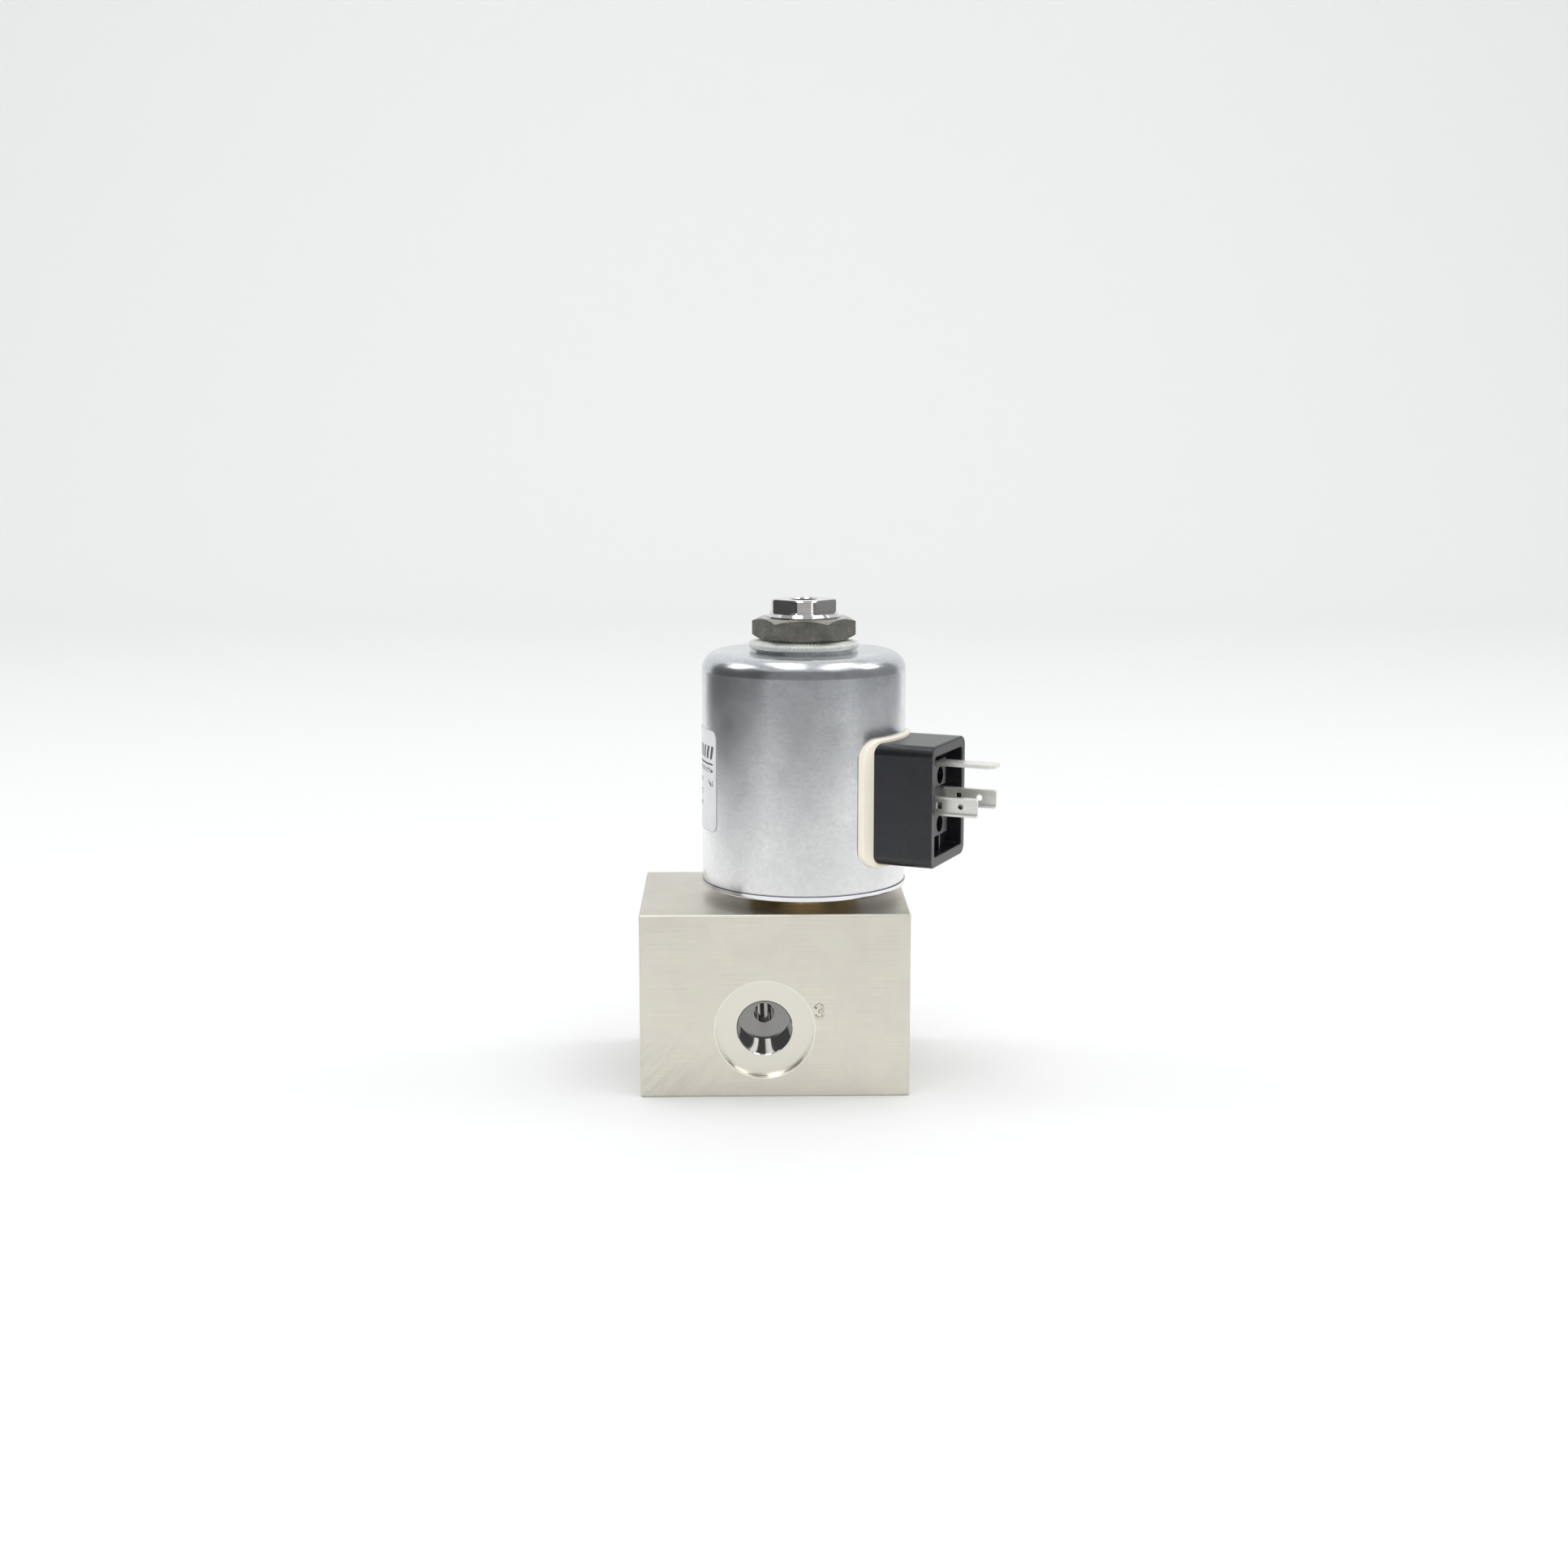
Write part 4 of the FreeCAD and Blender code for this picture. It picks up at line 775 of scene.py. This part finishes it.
def make_spring():
    """The return spring, with closed end turns, at one fixed length; on the real valve it shortens as the
    armature rises.
    """
    low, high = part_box("return_spring")
    wire = 0.4 * MM
    turns = 8
    per_turn = 32
    around_wire = 10
    radius = (high.x - low.x) / 2 - wire
    climb = high.z - low.z - 2 * wire
    closed = 2 * wire
    pitch = (climb - 2 * closed) / (turns - 2)
    mesh = bmesh.new()
    loops = []
    for step in range(turns * per_turn + 1):
        turn = step / per_turn
        angle = 2 * math.pi * turn
        open_turns = min(max(turn - 1, 0), turns - 2)
        height = low.z + wire + open_turns * pitch + (turn - open_turns) * closed
        loop = []
        for index in range(around_wire):
            tilt = 2 * math.pi * index / around_wire
            reach = radius + wire * math.cos(tilt)
            place = (
                AXIS_X + reach * math.cos(angle),
                reach * math.sin(angle),
                height + wire * math.sin(tilt),
            )
            loop.append(mesh.verts.new(place))
        loops.append(loop)
    link_loops(mesh, loops, close=True)
    for end in (loops[0], loops[-1]):
        mesh.faces.new(end)
    bmesh.ops.recalc_face_normals(mesh, faces=mesh.faces)
    bmesh.ops.triangulate(mesh, faces=[face for face in mesh.faces if len(face.verts) > 4])
    steel = turned_metal("spring_steel", (0.48, 0.47, 0.46), (0.62, 0.61, 0.60), 0.3)
    spring = new_piece("spring_wire", mesh, steel, "valve_body", "return_spring")
    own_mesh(spring)


def dress_nodes():
    """Gives every CAD node its finish."""
    rubber = moulded_plastic("black_rubber", (0.012, 0.012, 0.012), (0.028, 0.028, 0.028), 0.6)
    brass = turned_metal("turned_brass", (0.42, 0.29, 0.12), (0.60, 0.43, 0.20), 0.22)
    bright = turned_metal("bright_turned_steel", (0.72, 0.70, 0.67), (0.86, 0.85, 0.82), 0.1)
    steel = turned_metal("drawn_steel", (0.48, 0.47, 0.46), (0.62, 0.61, 0.60), 0.3)
    copper = wound_copper()
    nylon = moulded_plastic("black_nylon", (0.008, 0.0085, 0.01), (0.012, 0.013, 0.016), 0.3, sheen=0.6)
    pins = plated_sheet()
    zinc = can_finish()
    finishes = {
        "valve_block": block_finish(),
        "tube_base": brass,
        "tube_base_oring": rubber,
        "guide_tube": steel,
        "fixed_core": bright,
        "lower_seat": brass,
        "lower_seat_oring": rubber,
        "upper_seat": brass,
        "armature": bright,
        "valve_stem": bright,
        "poppet": brass,
        "lower_seal": rubber,
        "upper_seal": rubber,
        "coil_can": zinc,
        "coil_bottom_plate": zinc,
        "coil_seal_bottom": rubber,
        "coil_seal_top": rubber,
        "coil_bobbin": moulded_plastic("bobbin_nylon", (0.05, 0.05, 0.05), (0.08, 0.08, 0.08), 0.45),
        "coil_winding": copper,
        "coil_leads": copper,
        "coil_resin": moulded_plastic("cream_resin", (0.96, 0.89, 0.76), (0.98, 0.92, 0.81), 0.42, coat=0.15),
        "connector_base": nylon,
        "power_blade_front": pins,
        "power_blade_rear": pins,
        "earth_blade": pins,
        "plug_screw_insert": brass,
        "coil_nut": plated_nut(),
    }
    for name, material in finishes.items():
        mesh = nodes[name].data
        mesh.materials.clear()
        mesh.materials.append(material)


make_camera()
make_lights()
make_world()
make_floor()
make_dark_cards()
dress_nodes()
make_label()
make_washer()
make_spring()
